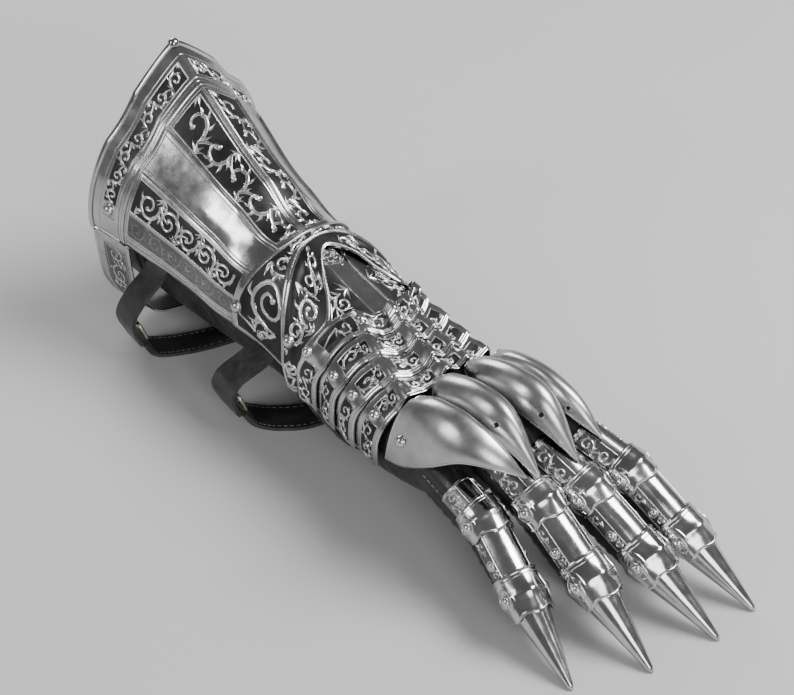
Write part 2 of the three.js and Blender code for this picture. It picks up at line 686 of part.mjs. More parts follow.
// Short strap across the palm, from under the lames on one side to the other.
function palmStrap() {
  const deg = (v) => mix(-109, -222, v);
  const x = (u, v) => mix(-60, -46, Math.sin(Math.PI * v)) + (u - 0.5) * 22;
  return sheet((u, v) => armLift(x(u, v), deg(v), 0.5 + STRAP),
    (u, v) => armLift(x(u, v), deg(v), 0.5), 1, 14);
}

// ---- assembly -----------------------------------------------------------
const gauntlet = new THREE.Group();
const add = (name, geometry, material) => {
  const mesh = new THREE.Mesh(geometry, material);
  mesh.name = name;
  gauntlet.add(mesh);
};

add('cuff', cuff(), steel);
add('cuff_collar', collar(), dark);
add('wrist_plate_1', wristPlate1(), dark);
add('wrist_plate_2', wristPlate2(), dark);
add('metacarpal_plate', metacarpalPlate(), dark);
for (let i = 0; i < 4; i += 1) add(`hand_lame_${i + 1}`, handLame(i), dark);
for (const name of Object.keys(GUARDS)) add(`knuckle_guard_${name}`, knuckleGuard(name), steel);

const ROOTS = { pinky: 138, ring: 155, middle: 162, index: 166, thumb: 128 };
const LAME_ROOTS = { pinky: 114, ring: 130, middle: 132, index: 126, thumb: 106 };
const digits = Object.entries(DIGITS).map(([name, d]) => (
  { name, d, line: digitLine(d), root: ROOTS[name] }));
for (const { name, d, line, root } of digits) {
  add(`lame_${name}`, digitLame(d, line, LAME_ROOTS[name]), dark);
  add(`cop_1_${name}`, digitCop(d, line, 88, 106, (COP_R - 0.7) * d.size), steel);
  add(`tube_plate_${name}`, digitTube(d, line), steel);
  add(`cop_2_${name}`, digitCop(d, line, 41, 64.5, (COP_R - 1.3) * d.size), steel);
  add(`claw_${name}`, claw(d, line), steel);
  add(`glove_${name}`, gloveFinger(d, line, root), hide);
}
add('glove_hand', gloveHand(digits), hide);
add('glove_sleeve', gloveSleeve(), hide);
add('palm_strap', palmStrap(), hide);
for (const [name, s] of Object.entries(STRAPS)) {
  add(`strap_billet_${name}`, billet(s), hide);
  add(`strap_loop_${name}`, loop(s), hide);
  add(`buckle_${name}`, buckle(s), brass);
  add(`strap_rivet_${name}`, strapRivet(s, 0.24), steel);
}

// Stand the whole on Z = 0 with the origin under the middle of its bounds.
const bounds = new THREE.Box3().setFromObject(gauntlet);
gauntlet.position.set(-(bounds.min.x + bounds.max.x) / 2, -(bounds.min.y + bounds.max.y) / 2,
  -bounds.min.z);
gauntlet.updateMatrixWorld(true);

export default gauntlet;
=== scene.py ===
"""Armoured gauntlet for a right hand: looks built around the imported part."""
import math

import bpy
import numpy as np
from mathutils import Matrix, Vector


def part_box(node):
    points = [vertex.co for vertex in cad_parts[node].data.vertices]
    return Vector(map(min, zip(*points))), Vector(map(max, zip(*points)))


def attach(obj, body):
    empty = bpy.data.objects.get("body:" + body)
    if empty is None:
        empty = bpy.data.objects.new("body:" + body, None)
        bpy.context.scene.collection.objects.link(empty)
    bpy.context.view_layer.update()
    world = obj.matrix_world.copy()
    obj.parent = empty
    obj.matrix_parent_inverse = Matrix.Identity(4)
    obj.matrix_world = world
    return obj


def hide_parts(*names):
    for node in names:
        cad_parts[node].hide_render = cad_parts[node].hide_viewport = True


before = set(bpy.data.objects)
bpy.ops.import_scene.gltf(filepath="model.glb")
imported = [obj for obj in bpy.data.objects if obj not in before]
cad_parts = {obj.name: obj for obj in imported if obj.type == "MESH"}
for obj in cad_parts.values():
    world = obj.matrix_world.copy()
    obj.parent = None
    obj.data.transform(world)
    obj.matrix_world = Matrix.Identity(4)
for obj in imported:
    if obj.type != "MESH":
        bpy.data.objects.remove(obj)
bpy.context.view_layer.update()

# ---- driving dimensions, millimetres, as in the part's solids ------------
STEEL, LEATHER, STRAP = 1.2, 1.8, 2.2
L1, L2, L3 = 2.4, 4.2, 6.0
RIM, RIM_SWEEP = -228.0, 7.0
CUFF_FRONT, CUFF_SWEEP = -105.0, 10.0
RIDGE_H, RIDGE_REACH, RIDGE_NARROW = 5.5, 48.0, 0.7
TUBE_R, COP_R, CLAW, CLAW_R, TIP_R = 10.7, 13.2, 47.0, 10.5, 1.7
FAR = 0.94
JOINT_2, BEND = 97.0, 9.0


# ---- small maths ---------------------------------------------------------
def mix(a, b, t):
    return a + (b - a) * t


def ease(t):
    t = np.clip(t, 0, 1)
    return t * t * (3 - 2 * t)


def unit(v):
    return v / np.maximum(np.linalg.norm(v, axis=-1, keepdims=True), 1e-12)


def stack(x, y, z):
    return np.stack(np.broadcast_arrays(x, y, z), -1).astype(float)


def circle(n):
    """n angles evenly round a full turn."""
    return np.linspace(0, 2 * math.pi, n, endpoint=False)


def along(rows, x, col):
    """Smooth value along a table of rows, the first column being the key."""
    r = np.array(rows, float)
    x = np.clip(np.asarray(x, float), r[0, 0], r[-1, 0])
    i = np.clip(np.searchsorted(r[:, 0], x, side="right") - 1, 0, len(r) - 2)
    a, b, c, d = (r[np.clip(i + k, 0, len(r) - 1)] for k in (-1, 0, 1, 2))
    h = c[..., 0] - b[..., 0]
    t = (x - b[..., 0]) / h
    m0 = (c[..., col] - a[..., col]) / (c[..., 0] - a[..., 0]) * h
    m1 = (d[..., col] - b[..., col]) / (d[..., 0] - b[..., 0]) * h
    return ((2 * t ** 3 - 3 * t ** 2 + 1) * b[..., col] + (t ** 3 - 2 * t ** 2 + t) * m0
            + (3 * t ** 2 - 2 * t ** 3) * c[..., col] + (t ** 3 - t ** 2) * m1)


# ---- the arm as a run of oval sections -----------------------------------
ARM = [
    [-240, 47, 62, 102, 13, 46], [-170, 44, 62, 104, 12, 42.5], [-130, 41, 61, 105, 12, 39],
    [-105, 39.5, 59, 104, 12, 37], [-75, 40, 53, 96, 10, 36], [-45, 42, 48, 89, 8, 37],
    [-10, 43, 46, 80.5, 9, 37.5], [20, 42, 48, 75, 16, 37.5], [44, 40, 52, 69, 26, 37]]
ARM_POWER = 2.2


def arm_point(x, deg):
    x, deg = np.broadcast_arrays(np.asarray(x, float), np.asarray(deg, float))
    mid = along(ARM, x, 2)
    a = np.radians(deg)
    s, c = np.sin(a), np.cos(a)
    h = np.where(c >= 0, along(ARM, x, 3) - mid, mid - along(ARM, x, 4))
    w = np.where(s < 0, along(ARM, x, 1), along(ARM, x, 5))
    k = (np.abs(s) ** ARM_POWER + np.abs(c) ** ARM_POWER) ** (-1 / ARM_POWER)
    return stack(x, w * k * s, mid + h * k * c)


def arm_lift(x, deg, lift):
    a = arm_point(x, np.asarray(deg) + 0.5) - arm_point(x, np.asarray(deg) - 0.5)
    n = unit(stack(0 * a[..., 0], -a[..., 2], a[..., 1]))
    return arm_point(x, deg) + n * np.asarray(lift)[..., None]


def arm_core(p):
    return stack(p[..., 0], 0 * p[..., 0], 0 * p[..., 0] + 55)


# The part's frame: the sleeve's rear edge lies at x = -236 in these millimetres.
sleeve_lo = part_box("glove_sleeve")[0]
ring_all = min(arm_point(float(x), np.array([18 * (i + 0.5) - 180 for i in range(20)]))[:, 1].min()
               for x in (-236, -190, -140, -94.4))
SHIFT = np.array([sleeve_lo.x * 1000 + 236.0, sleeve_lo.y * 1000 - ring_all, 0.0])


# ---- materials -----------------------------------------------------------
def material(name, build):
    m = bpy.data.materials.new(name)
    m.use_nodes = True
    t = m.node_tree
    t.nodes.clear()
    out = t.nodes.new("ShaderNodeOutputMaterial")
    b = t.nodes.new("ShaderNodeBsdfPrincipled")
    t.links.new(b.outputs[0], out.inputs[0])
    build(t, b)
    return m


def node(t, kind, **props):
    n = t.nodes.new(kind)
    for k, v in props.items():
        if k in n.inputs:
            n.inputs[k].default_value = v
        else:
            setattr(n, k, v)
    return n


def noise(t, scale, detail=4.0, rough=0.55, stretch=None):
    co = t.nodes.new("ShaderNodeTexCoord")
    src = co.outputs["Object"]
    if stretch:
        mp = t.nodes.new("ShaderNodeMapping")
        mp.inputs["Scale"].default_value = stretch
        t.links.new(src, mp.inputs[0])
        src = mp.outputs[0]
    n = node(t, "ShaderNodeTexNoise", Scale=scale, Detail=detail, Roughness=rough)
    t.links.new(src, n.inputs["Vector"])
    return n.outputs["Fac"]


def ramp(t, src, stops):
    r = t.nodes.new("ShaderNodeValToRGB")
    e = r.color_ramp.elements
    while len(e) < len(stops):
        e.new(0.5)
    for el, (pos, col) in zip(e, stops):
        el.position = pos
        el.color = (col, col, col, 1) if np.isscalar(col) else (*col, 1)
    t.links.new(src, r.inputs[0])
    return r.outputs[0]


def bump(t, src, strength, distance, before=None):
    n = node(t, "ShaderNodeBump", Strength=strength, Distance=distance)
    t.links.new(src, n.inputs["Height"])
    if before:
        t.links.new(before, n.inputs["Normal"])
    return n.outputs[0]


def metal(tone, rough, spread=0.1, dents=0.35, grain=0.25, tint=(1, 1, 1), stain=0.35):
    def build(t, b):
        b.inputs["Metallic"].default_value = 1.0
        big = noise(t, 38, 3, 0.6)
        fine = noise(t, 420, 6, 0.65)
        col = ramp(t, big, [(0.25, tuple(tone * (1 - stain) * c for c in tint)),
                            (0.62, tuple(tone * c for c in tint))])
        t.links.new(col, b.inputs["Base Color"])
        rr = t.nodes.new("ShaderNodeMapRange")
        rr.inputs["From Min"].default_value, rr.inputs["From Max"].default_value = 0.3, 0.7
        rr.inputs["To Min"].default_value = rough - spread * 0.5
        rr.inputs["To Max"].default_value = rough + spread
        t.links.new(noise(t, 95, 5, 0.7), rr.inputs["Value"])
        t.links.new(rr.outputs[0], b.inputs["Roughness"])
        n = bump(t, noise(t, 55, 2, 0.5), dents, 0.0006)
        n = bump(t, fine, grain, 0.00006, n)
        t.links.new(n, b.inputs["Normal"])
    return build


def leather(tone, rough):
    def build(t, b):
        co = t.nodes.new("ShaderNodeTexCoord")
        vor = node(t, "ShaderNodeTexVoronoi", Scale=620.0, feature="DISTANCE_TO_EDGE")
        t.links.new(co.outputs["Object"], vor.inputs["Vector"])
        col = ramp(t, noise(t, 60, 5, 0.6), [(0.3, tone * 0.55), (0.75, tone * 1.7)])
        t.links.new(col, b.inputs["Base Color"])
        t.links.new(ramp(t, noise(t, 130, 4, 0.6), [(0.3, rough - 0.1), (0.7, rough + 0.12)]),
                    b.inputs["Roughness"])
        b.inputs["Specular IOR Level"].default_value = 0.45
        n = bump(t, vor.outputs["Distance"], 0.35, 0.0003)
        n = bump(t, noise(t, 45, 5, 0.62), 0.55, 0.0022, n)
        t.links.new(n, b.inputs["Normal"])
    return build


M = {
    "bright": material("steel_polished", metal(0.60, 0.15, 0.1, 0.45, 0.2, stain=0.42)),
    "satin": material("steel_satin", metal(0.52, 0.29, 0.08, 0.4, 0.25, stain=0.4)),
    "etched": material("steel_etched_ground", metal(0.07, 0.42, 0.14, 0.3, 0.8, stain=0.6)),
    "scroll": material("steel_scroll", metal(0.78, 0.26, 0.12, 0.2, 0.5, stain=0.3)),
    "line": material("steel_border", metal(0.62, 0.24, 0.1, 0.3, 0.4)),
    "under": material("steel_inside", metal(0.16, 0.5, 0.1, 0.3, 0.6)),
    "strip": material("steel_engraved", metal(0.2, 0.36, 0.12, 0.3, 0.6, stain=0.5)),
    "fine": material("steel_fine_engraving", metal(0.36, 0.34, 0.1, 0.2, 0.5, stain=0.4)),
    "ball": material("steel_rivet", metal(0.72, 0.24, 0.08, 0.2, 0.2)),
    "hide": material("leather_black", leather(0.016, 0.4)),
    "strap": material("leather_strap", leather(0.024, 0.36)),
    "edge": material("leather_edge", leather(0.05, 0.6)),
    "thread": material("thread", leather(0.2, 0.7)),
    "brass": material("brass_pale", metal(0.74, 0.28, 0.1, 0.3, 0.3, tint=(1.0, 0.95, 0.8))),
    # near-black discs set in holes: painted shade standing for the dark inside each hole
    "hole": material("hole_painted_shade", leather(0.004, 0.9)),
}


# ---- mesh building -------------------------------------------------------
class Piece:
    """Collects grids, ribbons and rivets, then becomes one mesh that stands for a CAD node."""

    def __init__(self, name):
        self.name, self.v, self.f, self.m, self.n, self.slots = name, [], [], [], 0, []

    def mat(self, key):
        if key not in self.slots:
            self.slots.append(key)
        return self.slots.index(key)

    def verts(self, p):
        p = np.asarray(p, float).reshape(-1, 3)
        self.v.append(p)
        self.n += len(p)
        return np.arange(self.n - len(p), self.n)

    def quads(self, q, mats):
        q = np.asarray(q).reshape(-1, 4)
        if isinstance(mats, str):
            mats = np.full(len(q), self.mat(mats))
        self.f.append(q)
        self.m.append(np.asarray(mats).reshape(-1))

    def grid(self, p, mats, wrap_u=False, wrap_v=False, flip=False):
        """p is rows by columns by 3; mats a key, or an array of slot numbers for each face."""
        nv, nu = p.shape[:2]
        ids = self.verts(p).reshape(nv, nu)
        a = np.concatenate([ids, ids[:, :1]], 1) if wrap_u else ids
        a = np.concatenate([a, a[:1]], 0) if wrap_v else a
        q = np.stack([a[:-1, :-1], a[:-1, 1:], a[1:, 1:], a[1:, :-1]], -1)
        if flip:
            q = q[..., ::-1]
        self.quads(q, mats)
        return ids

    def shell(self, S, core, us, vs, thick, zone="bright", under="under", rim="bright"):
        """A bent sheet with rounded edges. zone(u, v) gives each outer face its material."""
        U, V = np.meshgrid(us, vs)
        P, N, du, dv, flip = frame_of(S, core, U, V)
        if callable(zone):
            uc, vc = (U[:-1, :-1] + U[1:, 1:]) / 2, (V[:-1, :-1] + V[1:, 1:]) / 2
            keys = zone(uc, vc)
            mats = np.zeros(keys.shape, int)
            for k in np.unique(keys):
                mats[keys == k] = self.mat(str(k))
        else:
            mats = zone
        a = self.grid(P, mats, flip=flip)
        b = self.grid(P - N * thick, under, flip=not flip)
        loop = lambda g: np.concatenate([g[0, :-1], g[:-1, -1], g[-1, :0:-1], g[:0:-1, 0]])
        B = np.zeros_like(P)
        B[0] -= dv[0]
        B[-1] += dv[-1]
        B[:, 0] -= du[:, 0]
        B[:, -1] += du[:, -1]
        lp, ln, lb = loop(P), loop(N), loop(B)
        lb = unit(lb - ln * (lb * ln).sum(-1, keepdims=True))
        rows = [loop(a)]
        for ang in (45, 90, 135):
            c, s = math.cos(math.radians(ang)), math.sin(math.radians(ang))
            rows.append(self.verts(lp - ln * thick / 2 + (ln * c + lb * s * 0.8) * thick / 2))
        rows.append(loop(b))
        r = np.stack(rows)
        r = np.concatenate([r, r[:, :1]], 1)
        q = np.stack([r[:-1, :-1], r[1:, :-1], r[1:, 1:], r[:-1, 1:]], -1)
        self.quads(q[..., ::-1] if flip else q, rim)

    def ribbon(self, S, core, path, width, height, key="scroll", lift=0.0, kind="round"):
        """A raised line along path, pairs (u, v) on the surface; width may change along it."""
        path = np.asarray(path, float)
        P, N, *_ = frame_of(S, core, path[:, 0], path[:, 1])
        T = unit(np.gradient(P, axis=0))
        B = unit(np.cross(T, N))
        w = np.broadcast_to(np.asarray(width, float), (len(P),))[:, None]
        prof = {"round": [(-0.5, -0.35), (-0.32, 0.75), (0, 1), (0.32, 0.75), (0.5, -0.35)],
                "leaf": [(-0.5, -0.25), (-0.3, 1), (0, 0.35), (0.3, 1), (0.5, -0.25)],
                "thin": [(-0.5, -0.25), (0, 1), (0.5, -0.25)]}[kind]
        rows = np.stack([P + B * w * a + N * (height * h + lift) for a, h in prof], 1)
        self.grid(rows, key)

    def lathe(self, at, normal, profile, key, sides=20):
        """A turned shape standing on a point; profile is pairs (radius, height)."""
        n = unit(np.asarray(normal, float))
        a = unit(np.cross(n, [0.3, 0.2, 0.93]))
        b = np.cross(n, a)
        ang = circle(sides)
        rows = [np.asarray(at) + n * h + r * (np.cos(ang)[:, None] * a + np.sin(ang)[:, None] * b)
                for r, h in profile]
        self.grid(np.stack(rows), key, wrap_u=True)

    def dome(self, at, normal, r, h, key="ball", collar=None):
        prof = [(r, -0.8), (r, 0.12 * h)]
        prof += [(r * math.cos(a), h * (0.12 + 0.88 * math.sin(a)))
                 for a in np.radians([12, 26, 42, 58, 74, 88])]
        self.lathe(at, normal, prof + [(0.001, h)], key)
        if collar:
            self.lathe(at, normal, [(r + collar, -0.6), (r + collar, 0.25), (r + collar * 0.6, 0.5),
                                    (r * 0.8, 0.5)], "line")

    def finish(self, nodes, smooth=35):
        v = (np.concatenate(self.v) + SHIFT) * 0.001
        f = np.concatenate(self.f)
        m = np.concatenate(self.m)
        me = bpy.data.meshes.new(self.name)
        me.from_pydata(v.tolist(), [], f.tolist())
        me.polygons.foreach_set("material_index", m.astype(np.int32))
        for key in self.slots:
            me.materials.append(M[key])
        me.polygons.foreach_set("use_smooth", np.ones(len(me.polygons), bool))
        me.set_sharp_from_angle(angle=math.radians(smooth))
        me.update()
        o = bpy.data.objects.new(self.name, me)
        bpy.context.scene.collection.objects.link(o)
        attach(o, "root")
        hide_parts(*nodes)
        return o


def frame_of(S, core, U, V):
    """Points, outward normals and edge directions of a surface, and whether its faces flip."""
    e = 1e-4
    U, V = np.asarray(U, float), np.asarray(V, float)
    P = S(U, V)
    du = unit(S(np.minimum(U + e, 1), V) - S(np.maximum(U - e, 0), V))
    dv = unit(S(U, np.minimum(V + e, 1)) - S(U, np.maximum(V - e, 0)))
    N = unit(np.cross(du, dv))
    flip = ((N * (P - core(P))).sum(-1) < 0)
    side = flip.mean() > 0.5
    return P, (-N if side else N), du, dv, bool(side)


# ---- scrollwork ----------------------------------------------------------
def scrolls(L, W, n, w0, flip=1, turns=1.35):
    """A running leaf scroll in a band L by W, as strokes of points and widths."""
    out = []
    cell = L / n
    R = min(0.52 * cell, 0.45 * W)

    def leaf(p, d1, d2, size, w):
        t = np.linspace(0, 1, 9)[:, None]
        p = np.asarray(p, float)
        q = p + np.asarray(d1) * size * 0.55
        e = q + np.asarray(d2) * size * 0.6
        pts = (1 - t) ** 2 * p + 2 * t * (1 - t) * q + t * t * e
        out.append((pts, w * (0.45 + 1.5 * np.sin(math.pi * t[:, 0] ** 0.8)) * (1 - t[:, 0] * 0.72)))

    for k in range(n):
        d = flip * (1 if k % 2 == 0 else -1)
        c = np.array([(k + 0.5) * cell, -d * (0.5 * W - R) * 0.5])
        t = np.linspace(0, 1, 30)
        ang = math.pi + d * 0.5 - d * 2 * math.pi * turns * t
        r = R * (1 - 0.78 * t ** 0.9)
        pts = c + np.stack([r * np.cos(ang), r * np.sin(ang)], 1)
        out.append((pts, w0 * (1.15 - 0.5 * t) * np.minimum(1, 0.3 + 9 * t)))
        tip = pts[-1]
        out.append((tip + np.stack([np.linspace(-0.55, 0.55, 5) * w0, np.zeros(5)], 1),
                    w0 * 1.5 * np.array([0.35, 0.9, 1.0, 0.9, 0.35])))
        # stem from the last scroll into this one
        a, b = pts[0] + [-0.55 * cell, d * 0.62 * R], pts[0]
        s = np.linspace(0, 1, 10)[:, None]
        mid = (a + b) / 2 + [0, d * 0.3 * R]
        stem = (1 - s) ** 2 * a + 2 * s * (1 - s) * mid + s * s * b
        out.append((stem, w0 * (0.5 + 0.6 * s[:, 0])))
        for t0, size, turn in ((0.07, 0.62, 1.0), (0.2, 0.7, 0.9), (0.33, 0.62, 1.0), (0.47, 0.5, 1.1)):
            i = int(t0 * 29)
            o = unit(pts[i] - c)
            g = unit(pts[min(i + 1, 29)] - pts[i])
            leaf(pts[i], unit(o + 0.5 * g), unit(0.35 * o * turn + g), R * size, w0 * 0.62)
        for t0 in (0.12, 0.4):
            i = int(t0 * 29)
            o = unit(c - pts[i])
            g = unit(pts[min(i + 1, 29)] - pts[i])
            leaf(pts[i], unit(o * 0.8 + 0.8 * g), unit(o * 0.2 + g), R * 0.34, w0 * 0.5)
        # fan of leaves in the free corner
        base = np.array([(k + 1.0) * cell, d * 0.47 * W])
        for a0 in (-0.95, -0.3, 0.35, 0.95):
            o = np.array([math.sin(a0), -d * math.cos(a0)])
            leaf(base, o, unit(o + np.array([0.5 * np.sign(a0), 0])), 0.26 * W, w0 * 0.55)
    keep = []
    for pts, w in out:
        pts = pts.copy()
        pts[:, 0] = np.clip(pts[:, 0], 0.4, L - 0.4)
        pts[:, 1] = np.clip(pts[:, 1], -0.5 * W + 0.5, 0.5 * W - 0.5)
        if np.ptp(pts, axis=0).max() > 0.8:
            keep.append((pts, w))
    return keep


def across(u, v):
    """Path of (u, v) pairs; either may be one number."""
    return np.stack(np.broadcast_arrays(u, v), 1).astype(float)


def spot(S, core, u, v):
    """One point of a surface and its outward normal."""
    p, n, *_ = frame_of(S, core, np.array([u]), np.array([v]))
    return p[0], n[0]


def span_of(S, a, b, n=24):
    t = np.linspace(0, 1, n)
    p = S(mix(a[0], b[0], t), mix(a[1], b[1], t))
    return np.linalg.norm(np.diff(p, axis=0), axis=1).sum()


def etch(b, S, core, box, w0=1.5, n=None, flip=1, lengthwise=True, key="scroll", height=0.28,
         turns=1.35, aspect=0.98):
    """Scrollwork over the box (u0, u1, v0, v1) of a surface, running along u or v."""
    u0, u1, v0, v1 = box
    um, vm = (u0 + u1) / 2, (v0 + v1) / 2
    lu, lv = span_of(S, (u0, vm), (u1, vm)), span_of(S, (um, v0), (um, v1))
    L, W = (lu, lv) if lengthwise else (lv, lu)
    n = n or max(1, round(L / (W * aspect)))
    for pts, w in scrolls(L, W, n, w0, flip, turns):
        s, t = pts[:, 0] / L, pts[:, 1] / W + 0.5
        uv = np.stack([mix(u0, u1, s), mix(v0, v1, t)] if lengthwise
                      else [mix(u0, u1, t), mix(v0, v1, s)], 1)
        b.ribbon(S, core, uv, w, height, key, kind="leaf" if w0 > 1.2 else "thin")


def outline(b, S, core, box, width=0.9, height=0.4, key="line", n=40):
    u0, u1, v0, v1 = box
    t = np.linspace(0, 1, n)
    for u, v in ((mix(u0, u1, t), v0 + 0 * t), (mix(u0, u1, t), v1 + 0 * t),
                 (u0 + 0 * t, mix(v0, v1, t)), (u1 + 0 * t, mix(v0, v1, t))):
        b.ribbon(S, core, across(u, v), width, height, key)


def zones(boxes, key="etched", other="bright"):
    def pick(u, v):
        inside = np.zeros(u.shape, bool)
        for u0, u1, v0, v1 in boxes:
            inside |= (u > u0) & (u < u1) & (v > v0) & (v < v1)
        return np.where(inside, key, other)
    return pick


def stops(*marks, step):
    """Grid lines that fall exactly on the marks."""
    out = []
    for a, b in zip(marks[:-1], marks[1:]):
        n = max(1, int(round((b - a) / step)))
        out += list(np.linspace(a, b, n, endpoint=False))
    return np.array(out + [marks[-1]])


# ---- cuff ----------------------------------------------------------------
BELL = [[0, 45, 61, 0], [18, 46, 62, 4], [60, 48.5, 68, 11], [100, 56, 76, 20],
        [122, 60.5, 80, 25], [134, 64, 82, 28]]
BELL_LENGTH = 134.0
CUFF_SPAN = 96.0


def flutes(deg):
    a = np.abs(deg)
    return np.where((a > 26) & (a < 50), -2.6 * np.sin(math.pi * (a - 26) / 24), 0.0)


def bell_point(t, deg):
    k = np.minimum(1, np.abs(deg) / 90)
    x = mix(CUFF_FRONT - CUFF_SWEEP * k, RIM - RIM_SWEEP * k ** 1.5, t)
    d = t * BELL_LENGTH
    w = along(BELL, d, 1)
    s, c = np.sin(np.radians(deg)), np.cos(np.radians(deg))
    r = w + flutes(deg) * ease((d - 10) / 30)
    y = r * s * np.where(s > 0, FAR, 1.0)
    z = along(BELL, d, 2) + r * 1.06 * c + along(BELL, d, 3) * np.exp(
        -((np.abs(y) / (0.52 * w)) ** 1.25))
    front = arm_lift(x, deg, L1 - 0.2)
    blend = ease((d - 14) / 34)
    return stack(x, mix(front[..., 1], y, blend), mix(front[..., 2], z, blend))


def cuff_S(u, v):
    deg = mix(-CUFF_SPAN, CUFF_SPAN, u)
    return bell_point(v, deg)


def cuff_core(p):
    return stack(p[..., 0], 0 * p[..., 0], 0 * p[..., 0] + 70)


def cu(deg):
    return (deg + CUFF_SPAN) / (2 * CUFF_SPAN)


def cuff():
    b = Piece("cuff_plate")
    band, z0, z1 = (0.862, 0.936), 0.10, 0.785
    top = [(cu(-23.5), cu(-3.2), z0, z1), (cu(3.2), cu(23.5), z0, z1)]
    low = [(cu(-72), cu(-53), 0.13, z1), (cu(53), cu(72), 0.13, z1)]
    strip = [(cu(-88), cu(-74), 0.13, z1), (cu(74), cu(88), 0.13, z1)]
    rim = [(cu(-76), cu(-3.5), *band), (cu(3.5), cu(76), *band)]

    def zone(u, v):
        keys = zones(top + low + rim)(u, v)
        return np.where(zones(strip)(u, v) == "etched", "strip", keys)

    us = stops(0, cu(-88), cu(-74), cu(-72), cu(-53), cu(-50), cu(-26), cu(-23.5), cu(-3.2), cu(0),
               cu(3.2), cu(23.5), cu(26), cu(50), cu(53), cu(72), cu(74), cu(88), 1, step=0.0075)
    vs = stops(0, z0, 0.13, z1, 0.812, 0.845, *band, 0.975, 1, step=0.009)
    b.shell(cuff_S, cuff_core, us, vs, STEEL, zone)
    for box in top:
        etch(b, cuff_S, cuff_core, box, 2.3, n=5, lengthwise=False, turns=0.8,
             flip=1 if box[0] < 0.5 else -1)
    for box in low:
        etch(b, cuff_S, cuff_core, (box[0], box[1], 0.17, 0.76), 2.0, n=5, lengthwise=False,
             flip=-1 if box[0] < 0.5 else 1)
    for box in strip:
        etch(b, cuff_S, cuff_core, box, 0.8, n=6, lengthwise=False, key="fine", height=0.1)
    for box in rim:
        etch(b, cuff_S, cuff_core, box, 1.5, n=7, lengthwise=True, turns=1.1)
    for box in top + low + rim:
        outline(b, cuff_S, cuff_core, box, 1.1, 0.45, n=70)
    for box in strip:
        outline(b, cuff_S, cuff_core, box, 0.7, 0.2, n=70)
    t = np.linspace(0, 1, 90)
    # raised lines beside the flutes and along the centre ridge
    for deg, w, h in ((26, 1.5, 0.9), (50, 1.5, 0.9), (28.3, 0.8, 0.35), (47.7, 0.8, 0.35),
                      (0, 2.0, 0.8), (92.6, 1.3, 0.5), (90, 0.8, 0.3)):
        for s in ((-1, 1) if deg else (1,)):
            b.ribbon(cuff_S, cuff_core, across(cu(s * deg), mix(0.01, 0.80, t)), w, h, "line")
    # double step in front of the rim band
    t = np.linspace(0, 1, 220)
    for v, w, h in ((0.846, 1.5, 0.7), (0.83, 1.0, 0.35), (0.812, 1.9, 1.0), (0.797, 0.9, 0.35),
                    (0.952, 0.8, 0.3)):
        b.ribbon(cuff_S, cuff_core, across(mix(0.004, 0.996, t), v), w, h, "line")
    # rolled rim
    P, N, _, dv, _ = frame_of(cuff_S, cuff_core, mix(0, 1, t), 0 * t + 1.0)
    C = P - N * STEEL / 2
    rows = [C + 2.1 * (N * math.cos(a) + dv * math.sin(a) * 0.9)
            for a in circle(12)]
    b.grid(np.stack(rows, 1), "bright", wrap_u=True)
    for end in (0, -1):
        b.lathe(C[end], (P[end] - P[1 if end == 0 else -2]),
                [(2.05, -0.3), (1.9, 0.5), (1.2, 1.0), (0.01, 1.2)], "bright", 12)
    # peak cap
    peak = frame_of(cuff_S, cuff_core, np.array([0.5]), np.array([1.0]))
    b.lathe(peak[0][0] - peak[1][0] * 0.3, peak[1][0] * 0.7 + peak[3][0] * 0.9,
            [(3.2, -1.6), (3.3, 0.2), (2.9, 1.4), (2.0, 2.3), (0.9, 2.8), (0.01, 2.9)], "bright", 20)
    for deg in (-80, 80):
        b.dome(*spot(cuff_S, cuff_core, cu(deg), 0.9), 3.6, 3.4, collar=0.7)
        for off in (-3.6, 3.6):
            q = np.linspace(0.868, 0.932, 12)
            b.ribbon(cuff_S, cuff_core, across(cu(deg + off * 1.15), q), 0.8, 0.3, "line")
    b.finish(["cuff"], 32)


def collar():
    b = Piece("cuff_collar_plate")
    path = [[0, -60.5, 72], [1, -60, 56], [2, -57, 34], [3, -45, 15], [4, -22, 7.5], [5, 0, 6.2],
            [6, 21, 7.5], [7, 43, 15], [8, 54, 34], [9, 56.5, 56], [10, 56.5, 72]]

    def S(u, v):
        k, grow = u * 10, mix(1, 0.955, v)
        return stack(mix(-239, -209, v), along(path, k, 1) * grow, mix(60, along(path, k, 2), grow))

    core = lambda p: stack(0 * p[..., 0] - 220, 0 * p[..., 0], 0 * p[..., 0] + 60)
    boxes = [(0.035, 0.27, 0.22, 0.9), (0.73, 0.965, 0.22, 0.9)]
    b.shell(S, core, stops(0, 0.035, 0.27, 0.73, 0.965, 1, step=0.008), stops(0, 0.22, 0.9, 1, step=0.05),
            STEEL, zones(boxes, "strip"))
    for box in boxes:
        etch(b, S, core, (box[0], box[1], 0.3, 0.83), 1.0, n=3, key="scroll", height=0.18)
        outline(b, S, core, box, 1.0, 0.35, n=50)
        outline(b, S, core, (box[0] + 0.012, box[1] - 0.012, box[2] + 0.06, box[3] - 0.06), 0.5, 0.2, n=50)
    t = np.linspace(0.003, 0.997, 160)
    P, N, _, dv, _ = frame_of(S, core, t, 0 * t)
    rows = [P - N * 0.6 + 1.3 * (N * math.cos(a) - dv * math.sin(a)) for a in circle(10)]
    b.grid(np.stack(rows, 1), "bright", wrap_u=True)
    b.finish(["cuff_collar"], 35)


# ---- wrist and hand plates -----------------------------------------------
LAME_TOP, LAME_SIDE = [-46, -34.5, -21, -7, 4], [-70, -56, -40, -23, -4]
LAP = 4.0
LAME_ANGLES = [-103, -84, -62, -55, -48, -36, -25, -16, -5.5, 4.5, 14, 23, 28, 38, 48, 64]
CRESTS = [-36, -5.5, 14, 38]


